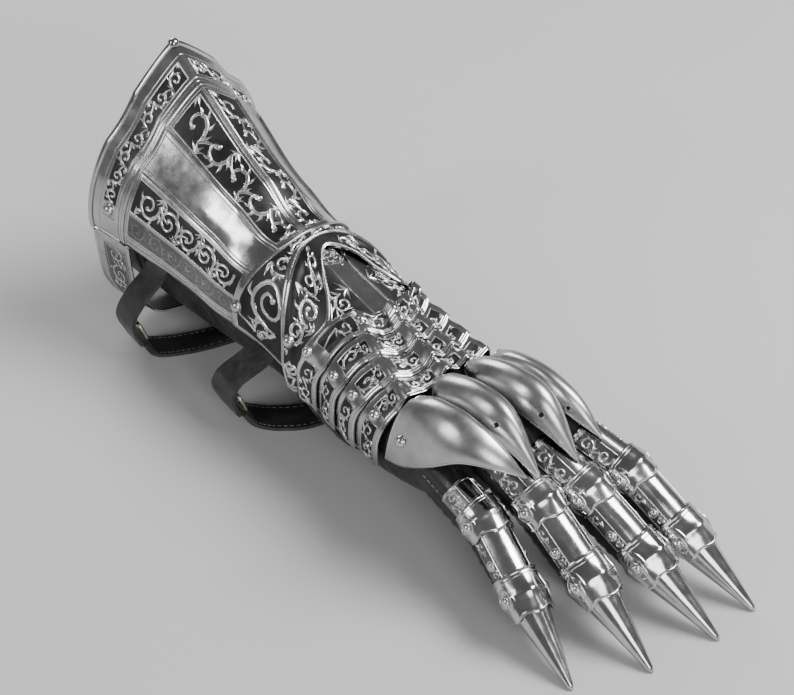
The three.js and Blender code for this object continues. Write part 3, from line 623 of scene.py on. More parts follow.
def spread(top, side):
    return lambda deg: mix(top, side, ease((np.abs(deg) - 12) / 68))


def fan(deg, x):
    t = np.clip((x + 50) / 50, 0, 1)
    edge = ease((np.abs(deg) - RIDGE_REACH) / 16)
    return mix(deg * mix(RIDGE_NARROW, 1, t) + mix(4, 0, t), deg, edge)


def lobe(deg):
    return np.where(deg < -80, ease((-80 - deg) / 26), 0.0)


EDGE = {
    "w1r": spread(-113, -128), "w1f": spread(-100, -77),
    "w2r": lambda d: spread(-106, -84)(d) + 5 * lobe(d),
    "w2f": lambda d: mix(mix(-97, -61.5, ease(np.abs(d) / 40)), -68, ease((np.abs(d) - 40) / 26))
    - 3 * lobe(d),
    "br": spread(-104, -30),
    "bf": lambda d: spread(LAME_TOP[1], LAME_SIDE[1])((d - 4) / 0.78) - LAP - 2.4,
}


def step_lift(x, rows):
    """Height of a plate at x: rows are (x, height) pairs from rear to front, as arrays."""
    out = rows[0][1] + 0 * x
    for (xa, ha), (xb, hb) in zip(rows[:-1], rows[1:]):
        out = out + (hb - ha) * ease((x - xa) / np.maximum(xb - xa, 0.3))
    return out


def plate_S(a0, a1, rear, front, rows, bump=None, turn=None):
    def S(u, v):
        deg = mix(a0, a1, u)
        x = mix(rear(deg), front(deg), v)
        h = step_lift(x, rows(deg))
        if bump is not None:
            h = h + bump(deg, v)
        return arm_lift(x, turn(deg, x) if turn else deg, h)
    return S


def au(a0, a1):
    return lambda deg: (deg - a0) / (a1 - a0)


def wrist_plate_1():
    b = Piece("wrist_plate_1_plate")
    a0, a1 = -94.0, 80.0
    S = plate_S(a0, a1, EDGE["w1r"], EDGE["w1f"],
                lambda d: [(EDGE["w1r"](d), L2 + 0 * d), (EDGE["w1f"](d), L2 + 0 * d)])
    U = au(a0, a1)
    box = (U(-91), U(77), 0.085, 0.95)
    b.shell(S, arm_core, stops(0, U(-91), U(77), 1, step=0.006), stops(0, 0.085, 0.95, 1, step=0.035),
            STEEL, zones([box]))
    for d0, d1, v0, v1, w, n, flip, turns in (
            (-80, -36, 0.13, 0.92, 2.9, 1, -1, 1.7), (-90, -70, 0.13, 0.9, 1.7, 1, 1, 0.9),
            (-42, -6, 0.1, 0.9, 2.0, 2, 1, 1.3), (-6, 36, 0.1, 0.9, 2.0, 2, -1, 1.3),
            (36, 76, 0.13, 0.92, 2.6, 1, 1, 1.6)):
        etch(b, S, arm_core, (U(d0), U(d1), v0, v1), w, n=n, lengthwise=d0 != -90, flip=flip, turns=turns)
    outline(b, S, arm_core, box, 1.2, 0.5, n=120)
    arm_rivet(b, -124, -76, L2, 3.8, 3.6)
    arm_rivet(b, -104, -84, L2, 2.6, 1.8, collar=0.6)
    b.finish(["wrist_plate_1"], 35)


def wrist_plate_2():
    b = Piece("wrist_plate_2_plate")
    a0, a1 = -104.0, 78.0
    F = EDGE["w2f"]

    def rows(d):
        f = F(d)
        st = np.minimum(EDGE["w1f"](d) + 0.6, f - 2)
        e = ease((26 - np.abs(d)) / 10)
        h = mix(L2, L3, e)
        return [(EDGE["w2r"](d), L3 + 0 * d), (st, L3 + 0 * d), (np.minimum(st + 4.5, f - 1), h), (f, h)]

    S = plate_S(a0, a1, EDGE["w2r"], F, rows)
    U = au(a0, a1)
    near, far = (U(-98), U(-30), 0.13, 0.9), (U(30), U(75), 0.13, 0.9)
    mid = (U(-30), U(30), 0.13, 0.9)
    b.shell(S, arm_core, stops(0, U(-98), U(-30), U(30), U(75), 1, step=0.006),
            stops(0, 0.13, 0.9, 1, step=0.035), STEEL, zones([near, far, mid]))
    for d0, d1, v0, v1, w, n, flip, turns in (
            (-66, -34, 0.2, 0.86, 2.3, 2, 1, 1.4), (-97, -72, 0.17, 0.88, 2.0, 1, -1, 1.6),
            (-34, -12, 0.2, 0.84, 1.6, 2, 1, 1.1), (12, 34, 0.2, 0.84, 1.6, 2, -1, 1.1),
            (34, 74, 0.2, 0.86, 2.3, 2, -1, 1.4)):
        etch(b, S, arm_core, (U(d0), U(d1), v0, v1), w, n=n, flip=flip, turns=turns)
    outline(b, S, arm_core, (U(-101.5), U(75.5), 0.075, 0.935), 1.3, 0.55, n=130)
    outline(b, S, arm_core, (U(-98), U(75), 0.13, 0.9), 0.7, 0.25, n=130)
    arm_rivet(b, -80, -66, L3, 3.6, 3.4)
    b.finish(["wrist_plate_2"], 35)


def metacarpal_plate():
    b = Piece("metacarpal_plate_plate")
    a0, a1 = -46.0, 46.0
    rear, front = EDGE["br"], EDGE["bf"]

    def bump(deg, v):
        keel = 1.2 * np.clip(1 - np.abs(deg) / 9, 0, 1) * ease(v / 0.3)
        return keel - 0.5 * np.exp(-((np.abs(deg) - 8) / 1.6) ** 2) * ease(v / 0.3)

    S = plate_S(a0, a1, rear, front, lambda d: [(rear(d), L1 + 0 * d), (front(d), L1 + 0 * d)], bump)
    U = au(a0, a1)
    near, far = (U(-44), U(-9), 0.04, 0.97), (U(9), U(44), 0.04, 0.97)
    b.shell(S, arm_core, stops(0, U(-44), U(-9), U(0), U(9), U(44), 1, step=0.012),
            stops(0, 0.04, 0.97, 1, step=0.016), STEEL, zones([near, far]))
    etch(b, S, arm_core, (U(-40), U(-10), 0.32, 0.95), 1.7, n=3, lengthwise=False, flip=1)
    etch(b, S, arm_core, (U(10), U(40), 0.32, 0.95), 1.7, n=3, lengthwise=False, flip=-1)
    t = np.linspace(0, 1, 60)
    for deg in (-9, 9):
        b.ribbon(S, arm_core, across(U(deg), mix(0.28, 0.99, t)), 1.1, 0.5, "line")
    # heart-shaped cartouche with a four-lobed flower at the rear of the keel
    a = np.linspace(0, 2 * math.pi, 90)
    hx, hy = 16 * np.sin(a) ** 3, 13 * np.cos(a) - 5 * np.cos(2 * a) - 2 * np.cos(3 * a) - np.cos(4 * a)
    for k, w, key in ((1.0, 1.2, "line"), (0.8, 0.7, "scroll")):
        b.ribbon(S, arm_core, across(U(0) + k * hx * 0.0093, 0.185 - k * hy * 0.0078), w, 0.5, key)
    for q in range(4):
        c = q * math.pi / 2 + math.pi / 4
        s = np.linspace(0, 2 * math.pi, 26)
        r = 0.5 + 0.5 * np.sin(s * 0.5)
        uu = U(0) + 0.045 * math.cos(c) + 0.036 * np.cos(s) * r
        vv = 0.185 + 0.036 * math.sin(c) + 0.03 * np.sin(s) * r
        b.ribbon(S, arm_core, across(uu, vv), 0.9, 0.4, "scroll", kind="thin")
    b.finish(["metacarpal_plate"], 35)


def arm_rivet(b, x, deg, lift, r, h, collar=0.3):
    x, deg = np.array(float(x)), np.array(float(deg))
    n = unit(arm_lift(x, deg, 1) - arm_point(x, deg))
    b.dome(arm_lift(x, deg, lift - 0.1), n, r, h, collar=collar)


def lame_rows(i, deg):
    rear, front = spread(LAME_TOP[i], LAME_SIDE[i])(deg), spread(LAME_TOP[i + 1], LAME_SIDE[i + 1])(deg)
    over = front - LAP - 0.6
    one = 1 + 0 * deg
    if i:
        return [(rear - LAP, L1 * one), (rear + 0.6, L1 * one), (over, L2 * one), (front, L2 * one)]
    real = fan(deg, rear)
    under = np.maximum(EDGE["w2f"](real), np.where(np.abs(real) < 50, EDGE["bf"](real), -99.0))
    return [(rear, L3 * one), (np.maximum(rear + 1, np.minimum(under + 0.6, over - 2)), L3 * one),
            (over, L2 * one), (front, L2 * one)]


def crest_bump(deg):
    table = [1.0 if a in CRESTS else 0.0 for a in LAME_ANGLES]
    total = 0
    for off in (-1.6, -0.8, 0, 0.8, 1.6):
        total = total + np.interp(deg + off, LAME_ANGLES, table)
    return RIDGE_H * total / 5


def hand_lame(i):
    b = Piece(f"hand_lame_{i + 1}_plate")
    a0, a1 = -103.0, 64.0
    rear = lambda d: lame_rows(i, d)[0][0]
    front = lambda d: lame_rows(i, d)[-1][0]
    S = plate_S(a0, a1, rear, front, lambda d: lame_rows(i, d), lambda d, v: crest_bump(d), fan)
    U = au(a0, a1)
    v0 = 0.16 if i == 0 else 0.40
    cells = [(-100, -66), (-58, -41), (-32, -13), (-1.5, 10), (18, 34), (42, 62)]
    boxes = [(U(p), U(q), v0, 0.86) for p, q in cells]
    marks = sorted({0, 1} | {m for bx in boxes for m in bx[:2]})
    b.shell(S, arm_core, stops(*marks, step=0.0055), stops(0, v0, 0.86, 1, step=0.05), STEEL, zones(boxes))
    for k, box in enumerate(boxes):
        n = 2 if k in (0,) else (2 if i and k in (2, 5, 1) else 1)
        etch(b, S, arm_core, box, 1.25, n=n, flip=1 if (k + i) % 2 else -1, turns=1.0, height=0.25)
        outline(b, S, arm_core, box, 0.8, 0.35, n=36)
    t = np.linspace(0.004, 0.996, 170)
    b.ribbon(S, arm_core, across(t, 0.93), 1.0, 0.4, "line")
    row = [[float(q) for q in r] for r in lame_rows(i, np.array(-62.0))]
    at = 0.62 if i else 0.5
    ra, rb = (row[1], row[2]) if i else (row[0], row[1])
    arm_rivet(b, mix(ra[0], rb[0], at), -61, mix(ra[1], rb[1], at), 3.1, 2.9, collar=0.35)
    b.finish([f"hand_lame_{i + 1}"], 32)


# ---- knuckle guards ------------------------------------------------------
GUARDS = {
    "pinky": [[2, -46.5, 47, 8, -32, 85, 8, -23.5, 79], [18, -48, 54, 20, -31.5, 92, 20, -22.4, 82],
              [36, -47, 66, 38, -30, 94.5, 36, -22.2, 84], [52, -42, 77, 54, -27.5, 91, 52, -21.8, 83],
              [66, -33, 77.5, 67, -24.5, 83, 65, -21, 79], [77, -20.4, 71, 77.4, -20, 71.2, 77, -19.6, 71]],
    "ring": [[4.8, -16, 80.5, 4.8, -11, 85.5, 4.8, -6, 80.5], [12, -20.6, 79, 12, -11, 91, 12, -1.4, 79],
             [30, -21.2, 82, 30, -11, 97, 30, -0.8, 82], [48, -20.4, 82, 49, -11, 96.5, 48, -1.2, 82],
             [63, -17, 76, 63, -11, 87, 62, -4.6, 76], [78, -11.4, 66.6, 78.4, -11, 66.8, 78, -10.6, 66.6]],
    "middle": [[4.8, 6.5, 80.5, 4.8, 11.5, 85, 4.8, 16.5, 80], [16, 2, 79, 16, 11.5, 92, 16, 21, 79],
               [34, 1.2, 82, 34, 11.5, 97.5, 34, 21.8, 82], [52, 1.8, 82, 53, 12, 97, 52, 22, 82],
               [67, 6, 76, 67, 12.6, 87, 66, 19.2, 76], [82, 12.8, 64.5, 82.4, 13.2, 64.7, 82, 13.6, 64.5]],
    "index": [[6, 23.4, 75, 6, 28.5, 80, 0, 41.5, 60], [17, 23.2, 78, 17, 28.5, 86.5, 15, 42.5, 61],
              [35, 23.6, 79, 35, 29, 90, 35, 42.5, 65], [52, 24.6, 77, 52, 30.5, 87, 52, 40, 72],
              [66, 28, 72, 66, 33, 79, 66, 38, 71], [79, 34.1, 64.5, 79.4, 34.5, 64.7, 79, 34.9, 64.5]],
}


# holes and pins on each guard: u, v, radius
PINS = {"ring": ((0.2, 0.66, 1.5), (0.5, 0.06, 0.8)), "middle": ((0.2, 0.72, 1.5), (0.5, 0.06, 0.8)),
        "index": ((0.14, 0.72, 1.3),), "pinky": ()}


def knuckle_guard(name):
    rows = GUARDS[name]
    keyed = [[i, *r] for i, r in enumerate(rows)]

    def S(u, v):
        k = v * (len(rows) - 1)
        q = lambda c: stack(along(keyed, k, c), along(keyed, k, c + 1), along(keyed, k, c + 2))
        crest, near, far = q(4), q(1), q(7)
        w = np.abs(2 * u - 1)
        edge = np.where((u < 0.5)[..., None], near, far)
        a = w * math.pi / 2
        return stack(mix(crest[..., 0], edge[..., 0], w), mix(crest[..., 1], edge[..., 1], np.sin(a)),
                     mix(crest[..., 2], edge[..., 2], 1 - np.cos(a)))

    def core(p):
        return p * np.array([1, 1, 0]) + np.array([0, 0, 30.0]) if name not in ("pinky", "index") else \
            stack(p[..., 0], 0 * p[..., 0] + (-22 if name == "pinky" else 26), 0 * p[..., 0] + 55)

    b = Piece(f"knuckle_guard_{name}_plate")
    b.shell(S, core, np.linspace(0, 1, 61), stops(0, 0.9, 1, step=0.0145), STEEL, "satin")
    t = np.linspace(0, 1, 120)
    loop = [(0.012 + 0 * t, mix(0.0, 0.995, t)), (0.988 + 0 * t, mix(0.0, 0.995, t))]
    for u, v in loop:
        b.ribbon(S, core, across(u, v), 0.9, 0.25, "line")
    b.ribbon(S, core, across(mix(0.01, 0.99, t), 0.01), 0.9, 0.25, "line")
    if name in ("pinky", "index"):
        u, v = (0.14, 0.14) if name == "pinky" else (0.86, 0.14)
        b.dome(*spot(S, core, u, v), 3.3, 3.0, collar=0.3)
    # pin hole near the point and a tiny pin at the neck, each drawn as a raised ring round a near-black disc
    # of painted shade
    for u, v, r in PINS[name]:
        p, n = spot(S, core, u, v)
        b.lathe(p, n, [(r + 0.5, -0.4), (r + 0.45, 0.22), (r, 0.3), (r * 0.8, 0.05)], "line", 18)
        b.lathe(p, n, [(r * 0.85, 0.0), (r * 0.8, 0.1), (0.01, 0.1)], "hole", 18)
    b.finish([f"knuckle_guard_{name}"], 40)


# ---- digits --------------------------------------------------------------
DIGITS = {
    "pinky": dict(tip=(146, -54), fall=27, aim=-12.5, fall2=14, aim2=-3, size=0.95, root=138, lame=114),
    "ring": dict(tip=(165, -17), fall=31, aim=-2.5, fall2=20, aim2=0, size=1, root=155, lame=130),
    "middle": dict(tip=(174, 23), fall=29.5, aim=6.5, fall2=20, aim2=5.9, size=1, root=162, lame=132),
    "index": dict(tip=(174, 51.7), fall=30, aim=7.3, fall2=17, aim2=11.6, size=0.96, root=166, lame=126),
    "thumb": dict(tip=(50, 66), fall=17, aim=9, fall2=12, aim2=17, size=0.94, root=128, lame=106),
}


class Digit:
    def __init__(self, d):
        self.d, self.k = d, d["size"]
        dirs = []
        for f, a in ((d["fall"], d["aim"]), (d["fall2"], d["aim2"])):
            f, a = math.radians(f), math.radians(a)
            dirs.append(np.array([-math.cos(f) * math.cos(a), -math.cos(f) * math.sin(a), math.sin(f)]))
        self.a, self.b = dirs
        f = math.radians(d["fall"])
        self.o = np.array([*d["tip"], 1.02 * TIP_R * math.cos(f) - 0.75 * math.sin(f) + 0.05])

    def axis(self, s):
        s = np.asarray(s, float)
        over = s - JOINT_2 * self.k
        t = np.clip((over + BEND) / (2 * BEND), 0, 1)
        turned = np.where(over > BEND, over, BEND * t * t)
        p = self.o + (s - turned)[..., None] * self.a + turned[..., None] * self.b
        return p, unit(mix(self.a, self.b, t[..., None]))

    def ring(self, s, deg, r):
        s, deg, r = np.broadcast_arrays(np.asarray(s, float), np.asarray(deg, float), np.asarray(r, float))
        p, d = self.axis(s)
        side = unit(np.cross(d, [0, 0, 1.0]))
        up = unit(np.cross(side, d))
        a = np.radians(deg)
        return p + side * (r * np.sin(a))[..., None] + up * (r * np.cos(a))[..., None]

    def core(self, p):
        s = ((p - self.o) @ self.a)
        knee = JOINT_2 * self.k
        s = np.where(s > knee, knee + (p - self.axis(np.array(knee))[0]) @ self.b, s)
        return self.axis(s)[0]


def digit_S(g, s0, s1, radius, reach):
    """u goes round from one side to the other, v from the claw end to the hand end."""
    def S(u, v):
        top = reach(v)
        deg = mix(-top, top, u)
        return g.ring(mix(s0, s1, v), deg, radius(v, deg))
    return S


def side_rivets(b, g, s, deg, r, size, washer):
    for k in (-1, 1):
        p = g.ring(np.array(float(s)), np.array(float(k * deg)), np.array(float(r)))
        n = unit(p - g.axis(np.array(float(s)))[0])
        b.dome(p, n, size, 0.72 * size, collar=washer)


ROUND = np.linspace(0.01, 0.99, 50)   # steps of a line that runs round a digit


def digit_lame(name, g, k):
    d = DIGITS[name]
    b = Piece(f"lame_{name}_plate")
    s0, s1 = 102 * k, d["lame"]
    S = digit_S(g, s0, s1, lambda v, a: TUBE_R * k + 0 * a, lambda v: 98 + 0 * v)
    boxes = [(0.08, 0.36, 0.12, 0.92), (0.64, 0.92, 0.12, 0.92)]
    b.shell(S, g.core, stops(0, 0.08, 0.36, 0.64, 0.92, 1, step=0.022), stops(0, 0.12, 0.92, 1, step=0.09),
            STEEL - 0.1, zones(boxes, "strip"))
    for q, box in enumerate(boxes):
        etch(b, S, g.core, box, 1.25, n=2, lengthwise=False, flip=1 if q else -1, turns=1.2, height=0.3)
        outline(b, S, g.core, box, 0.6, 0.3, n=24)
    for v in (0.04, 0.965):
        b.ribbon(S, g.core, across(ROUND, v), 0.9, 0.35, "line")
    b.finish([f"lame_{name}"], 40)


def tube_plate(name, g, k):
    b = Piece(f"tube_plate_{name}_plate")
    s0, s1 = 62 * k, 92 * k
    S = digit_S(g, s0, s1, lambda v, a: TUBE_R * k + 0.25 * np.sin(math.pi * v) + 0 * a, lambda v: 98 + 0 * v)
    boxes = [(0.03, 0.22, 0.06, 0.94), (0.78, 0.97, 0.06, 0.94)]
    b.shell(S, g.core, stops(0, 0.03, 0.22, 0.78, 0.97, 1, step=0.022), stops(0, 0.06, 0.94, 1, step=0.06),
            STEEL - 0.1, zones(boxes, "strip"))
    for box in boxes:
        for va, vb, f in ((0.07, 0.27, 1), (0.56, 0.93, -1)):
            etch(b, S, g.core, (box[0], box[1], va, vb), 1.0, n=1, lengthwise=False, flip=f, turns=0.9,
                 height=0.25)
        outline(b, S, g.core, box, 0.6, 0.25, n=30)
    for v, w, h in ((0.02, 1.3, 0.55), (0.075, 0.7, 0.25), (0.93, 0.7, 0.25), (0.98, 1.2, 0.5)):
        b.ribbon(S, g.core, across(ROUND, v), w, h, "line")
    side_rivets(b, g, 73 * k, 72, TUBE_R * k, 2.3 * k, 0.75)
    b.finish([f"tube_plate_{name}"], 40)


def cops(name, g, k):
    for which, s0, s1, front in ((1, 88, 106, COP_R - 0.7), (2, 41, 64.5, COP_R - 1.3)):
        b = Piece(f"cop_{which}_{name}_plate")
        end = (COP_R - 0.7) * k
        S0, S1 = s0 * k, s1 * k

        def radius(v, a, front=front, which=which):
            base = np.where(v < 0.5, mix(front * k, COP_R * k, 2 * v), mix(COP_R * k, end, 2 * v - 1))
            ridge = 0.55 * np.exp(-((v - 0.5) / 0.10) ** 2)
            crown = 0.9 * np.clip(1 - np.abs(a) / 26, 0, 1) * np.clip(1 - np.abs(v - 0.5) / 0.4, 0, 1)
            facet = 0.35 * np.cos(np.radians(a * 6)) * np.clip(1 - np.abs(v - 0.35) / 0.35, 0, 1)
            facet = facet * (which == 2)
            return base + (ridge + crown) * 0.8 + facet * 0.6

        def reach(v):
            return 88 + 26 * np.sin(math.pi * v)

        def S(u, v, radius=radius, S0=S0, S1=S1, which=which):
            top = reach(v)
            deg = mix(-top, top, u)
            # wavy, pointed front edge
            wave = (1.5 * np.cos(np.radians(deg * 4.5)) - 0.6) * k * (1 - v) ** 3
            return g.ring(mix(S0, S1, v) - wave * 0.7, deg, radius(v, deg))

        b.shell(S, g.core, np.linspace(0, 1, 65), np.linspace(0, 1, 27), STEEL - 0.1, "bright")
        for v, w, h in ((0.035, 1.0, 0.45), (0.965, 1.2, 0.55), (0.88, 0.6, 0.25)):
            b.ribbon(S, g.core, across(ROUND, v), w, h, "line")
        mid = (S0 + S1) / 2
        side_rivets(b, g, mid, 74, COP_R * k - 0.3, 2.6 * k, 1.0)
        # raised ring round each rivet
        for side in (-1, 1):
            a = np.linspace(0, 2 * math.pi, 40)
            deg0 = 74 * side
            top = 114.0
            uu = (deg0 + 19 * np.cos(a) + top) / (2 * top)
            vv = 0.5 + 0.27 * np.sin(a)
            b.ribbon(S, g.core, across(uu, vv), 0.8, 0.4, "line")
            for turn in (0.9, 2.25):
                aa = np.linspace(turn, turn + 1.2, 16)
                uu = (deg0 + 28 * np.cos(aa) * side + top) / (2 * top)
                b.ribbon(S, g.core, across(np.clip(uu, 0.02, 0.98), 0.5 + 0.38 * np.sin(aa)),
                         0.7 * np.sin(np.linspace(0.3, 2.9, 16)) + 0.2, 0.3, "scroll", kind="thin")
        b.finish([f"cop_{which}_{name}"], 30)


def claw(name, g, k):
    b = Piece(f"claw_{name}_plate")

    def claw_p(t, deg, off):
        palm = np.maximum(0, -np.cos(np.radians(deg)))
        s = t * (CLAW + 5 * palm) * k
        r = mix(TIP_R, CLAW_R * k, t) * (1 + 0.4 * t * palm ** 3)
        crease = 0.35 * t * np.exp(-((np.abs(np.mod(deg + 180, 360) - 180) - 112) / 5) ** 2)
        return g.ring(s, deg, r - off - crease)

    deg = np.linspace(0, 360, 73)[:-1]
    ts = np.concatenate([[0.03, 0.05, 0.08], np.linspace(0.12, 1, 30)])
    rows = [claw_p(np.full(72, t_), deg, 0.0) for t_ in ts]
    tip = []
    for q in (0.03, 0.2, 0.45, 0.75, 1.0):
        r = 1.73 * (0.72 * q + 0.28 * math.sqrt(1 - (1 - q) ** 2))
        tip.append(g.ring(np.full(72, -1.55 + 2.25 * q), deg, np.full(72, r)))
    rim_in = [claw_p(np.full(72, 1.0), deg, o) + g.a * e for o, e in ((-0.15, 0.35), (0.3, 0.75), (0.9, 0.5))]
    inner = [claw_p(np.full(72, t_), deg, 1.1) for t_ in (0.98, 0.7, 0.45)]
    b.grid(np.stack(tip + rows + rim_in), "bright", wrap_u=True)
    b.grid(np.stack([rim_in[-1]] + inner), "under", wrap_u=True)
    b.finish([f"claw_{name}"], 40)


def digit_pieces(name):
    g = Digit(DIGITS[name])
    for make in (digit_lame, tube_plate, cops, claw):
        make(name, g, g.k)


# ---- glove ---------------------------------------------------------------
def stitch(b, ends, normals, sides, half, high, low):
    """One raised stitch between two points."""
    rows = [[p + w * e * half + n * h for e, h in ((-1, low), (0, high), (1, low))]
            for p, n, w in zip(ends, normals, sides)]
    b.grid(np.array(rows), "thread")


def finger_radius(d, s, deg, off):
    k = d["size"]
    top = 8.9 * k
    pad = along([[20, 4.3], [34, 7.5], [48, 11.2], [58, 15.6], [72, 18], [96, 19.5], [124, 20]], s / k, 1) * k
    a = np.abs(np.where(deg > 180, 360 - deg, deg))
    t = np.clip((a - 108) / 72, 0, 1)
    tight = along([[20, 3.3], [32, 5.7], [46, 8.7]], s / k, 1) * k
    base = np.minimum(top, tight)
    fold = np.where(s > 56 * k, 0.5 * np.sin(s * 0.9 + d["tip"][1]) * t, 0)
    crease = -0.35 * t * (1 - np.cos(s * 0.9 * 1.7 + deg * 0.05)) * (off == 0)
    return mix(base, np.maximum(base, pad), t ** 0.8) + fold + crease + off


def glove_finger(name):
    d = DIGITS[name]
    g = Digit(d)
    k, root = g.k, d["root"]
    b = Piece(f"glove_{name}_leather")
    deg = np.linspace(0, 360, 61)[:-1]
    s = np.linspace(27 * k, root - 0.05, 100)
    D, Sg = np.meshgrid(deg, s)
    out = g.ring(Sg, D, finger_radius(d, Sg, D, 0))
    close = [g.ring(np.full(60, (27 - q) * k), deg, finger_radius(d, np.full(60, 27 * k), deg, 0) * f)
             for q, f in ((3.4, 0.1), (3.0, 0.4), (2.0, 0.72), (0.9, 0.92))]
    b.grid(np.concatenate([np.stack(close), out]), "hide", wrap_u=True)
    s2 = np.linspace(root - 0.05, 30 * k, 20)
    D, Sg = np.meshgrid(deg, s2)
    inner = g.ring(Sg, D, finger_radius(d, Sg, D, -LEATHER))
    b.grid(np.concatenate([out[-1:], inner]), "edge", wrap_u=True)
    # seam along the near side, with stitches
    for side in (104, 256):
        ss = np.arange(54 * k, root - 8, 3.4)
        for q in ss:
            a = np.array([q, q + 1.9])
            p = g.ring(a, np.full(2, float(side)), finger_radius(d, a, np.full(2, float(side)), 0))
            n = unit(p - g.axis(a)[0])
            t = unit(p[1] - p[0])
            w = np.cross(t, n[0])
            stitch(b, p, n, (w, w), 0.35, 0.35, -0.2)
    b.finish([f"glove_{name}"], 60)


def hand_ring(x, off, deg):
    shut = ease((x - 26) / 18)
    p = arm_lift(x, deg, off + 0 * deg)
    mid = stack(x + 0 * deg, 0 * deg, mix(50, 54, shut) + 0 * deg)
    return mix(p, mid, (0.12 * shut)[..., None])


def glove_bag(name, xs, node_name, cap):
    b = Piece(name)
    deg = np.linspace(-180, 180, 121)[:-1]
    D, X = np.meshgrid(deg, xs)
    wrinkle = 0.35 * np.sin(X * 0.55 + 2 * np.sin(np.radians(D) * 3)) * np.sin(np.radians(D) * 2 + X * 0.05)
    wrinkle = np.minimum(wrinkle, 0) * 1.4
    out = hand_ring(X, wrinkle, D)
    rows = [out]
    if cap:
        mid = np.array([42.0, 0, 52])
        rows.append(np.stack([mix(out[-1], mid, f) + np.array([1.5 * math.sin(f * math.pi / 2), 0, 0])
                              for f in (0.12, 0.3, 0.55, 0.8, 0.97)]))
    b.grid(np.concatenate(rows), "hide", wrap_u=True)
    inner = hand_ring(X, 0 * X - LEATHER, D)[::-1]
    if cap:
        b.grid(np.concatenate([inner, out[:1]]), "edge", wrap_u=True)
    else:
        b.grid(np.concatenate([out[-1:], inner, out[:1]]), "edge", wrap_u=True)
    b.finish([node_name], 60)


# ---- straps --------------------------------------------------------------
class Curve:
    """Centripetal Catmull-Rom line through points."""

    def __init__(self, pts):
        p = np.array(pts, float)
        self.p = np.concatenate([[2 * p[0] - p[1]], p, [2 * p[-1] - p[-2]]])
        self.n = len(p) - 1

    def at(self, v):
        k = np.clip(np.asarray(v, float) * self.n, 0, self.n - 1e-9)
        i = k.astype(int)
        t = (k - i)[..., None]
        a, b, c, d = (self.p[i + j] for j in range(4))
        g = lambda u, w: np.maximum(np.linalg.norm(u - w, axis=-1, keepdims=True) ** 0.5, 1e-4)
        d0, d1, d2 = g(a, b), g(b, c), g(c, d)
        t1 = ((b - a) / d0 - (c - a) / (d0 + d1) + (c - b) / d1) * d1
        t2 = ((c - b) / d1 - (d - b) / (d1 + d2) + (d - c) / d2) * d1
        return b + t1 * t + (3 * (c - b) - 2 * t1 - t2) * t ** 2 + (2 * (b - c) + t1 + t2) * t ** 3


class Band:
    def __init__(self, pts, aims, width):
        self.c, self.aims, self.w = Curve(pts), np.array([[*a, 0] for a in aims], float), width

    def frame(self, v):
        v = np.asarray(v, float)
        p = self.c.at(v)
        e = 1e-3
        t = unit(self.c.at(np.minimum(v + e, 1)) - self.c.at(np.maximum(v - e, 0)))
        low = p[..., 2] <= STRAP / 2 + 1e-6
        p[..., 2] = np.maximum(p[..., 2], STRAP / 2)
        t[..., 2] = np.where(low, 0, t[..., 2])
        t = unit(t)
        k = v * (len(self.aims) - 1)
        i = np.minimum(len(self.aims) - 2, k.astype(int))
        side = unit(mix(self.aims[i], self.aims[i + 1], (k - i)[..., None]))
        return p, t, side, unit(np.cross(side, t))

    def S(self, u, v):
        p, _, side, up = self.frame(v)
        return p + side * ((u - 0.5) * self.w)[..., None] + up * STRAP / 2


def band_piece(name, node_name, band, holes=(), n=160):
    b = Piece(name)
    us, vs = np.linspace(0, 1, 15), np.linspace(0, 1, n)
    U, V = np.meshgrid(us, vs)
    _, _, side, up = band.frame(V)
    top = band.S(U, V)
    back = top - up * STRAP
    b.grid(top, "strap")
    b.grid(back, "strap", flip=True)
    for i in (0, -1):
        mid = (top[:, i] + back[:, i]) / 2 + side[:, i] * (0.22 if i else -0.22)
        b.grid(np.stack([top[:, i], mid, back[:, i]], 1), "edge", flip=(i == 0))
        j = (top[i] + back[i]) / 2
        b.grid(np.stack([top[i], j, back[i]], 1), "edge", flip=(i != 0))
    length = np.linalg.norm(np.diff(top[:, 7], axis=0), axis=1).sum()
    for u in (0.1, 0.9):
        count = int(length / 3.6)
        for q in range(1, count - 1):
            a = np.array([q / count, (q + 0.55) / count])
            pp, _, ss, uu = band.frame(a)
            c = pp + ss * (u - 0.5) * band.w + uu * STRAP / 2
            stitch(b, c, uu, ss, 0.4, 0.22, -0.15)
    for v in holes:
        pp, _, _, uu = band.frame(np.array(v))
        # each strap hole: a raised leather ring round a near-black disc of painted shade
        b.lathe(pp + uu * STRAP / 2, uu, [(1.9, -0.1), (1.75, 0.22), (1.3, 0.1), (1.2, 0.03)], "strap", 16)
        b.lathe(pp + uu * STRAP / 2, uu, [(1.25, 0.0), (1.2, 0.05), (0.01, 0.05)], "hole", 16)
    b.finish([node_name], 50)


STRAPS = {
    "rear": dict(w=18, billet=[(-191, -48, 68.5), (-193, -51.5, 60), (-199, -64, 43), (-203, -69, 28),
                               (-202, -64.5, 12)],
                 loop=[(-202.4, -62, 11), (-199.5, -56, 3), (-192, -44, 1.1), (-184, -27, 1.1),
                       (-176, 0, 1.1), (-170, 30, 1.1), (-167, 50, 9), (-167, 58, 34),
                       (-168.5, 50, 50), (-171.5, 44.4, 61)]),
    "front": dict(w=20, billet=[(-103.5, -41.9, 52), (-108, -50, 45), (-115, -59.5, 34), (-118, -62, 23),
                                (-116, -58.6, 11)],
                  loop=[(-115.6, -55.6, 10.4), (-111, -49.5, 3), (-101, -40, 1.1), (-90, -25, 1.1),
                        (-84, 0, 1.1),
                        (-84, 28, 1.1), (-86, 44, 8), (-89, 50, 26), (-92, 46, 44), (-95, 41.5, 54)]),
}
AIMS = [(1, -0.15), (1, -0.5), (0.8, -0.6), (1, -0.25), (1, 0), (1, 0.1)]
LEVEL = [(1, 0), (1, 0), (1, -0.1)]
STRAP_RIVET_AT = 0.24   # place of the rivet along the billet


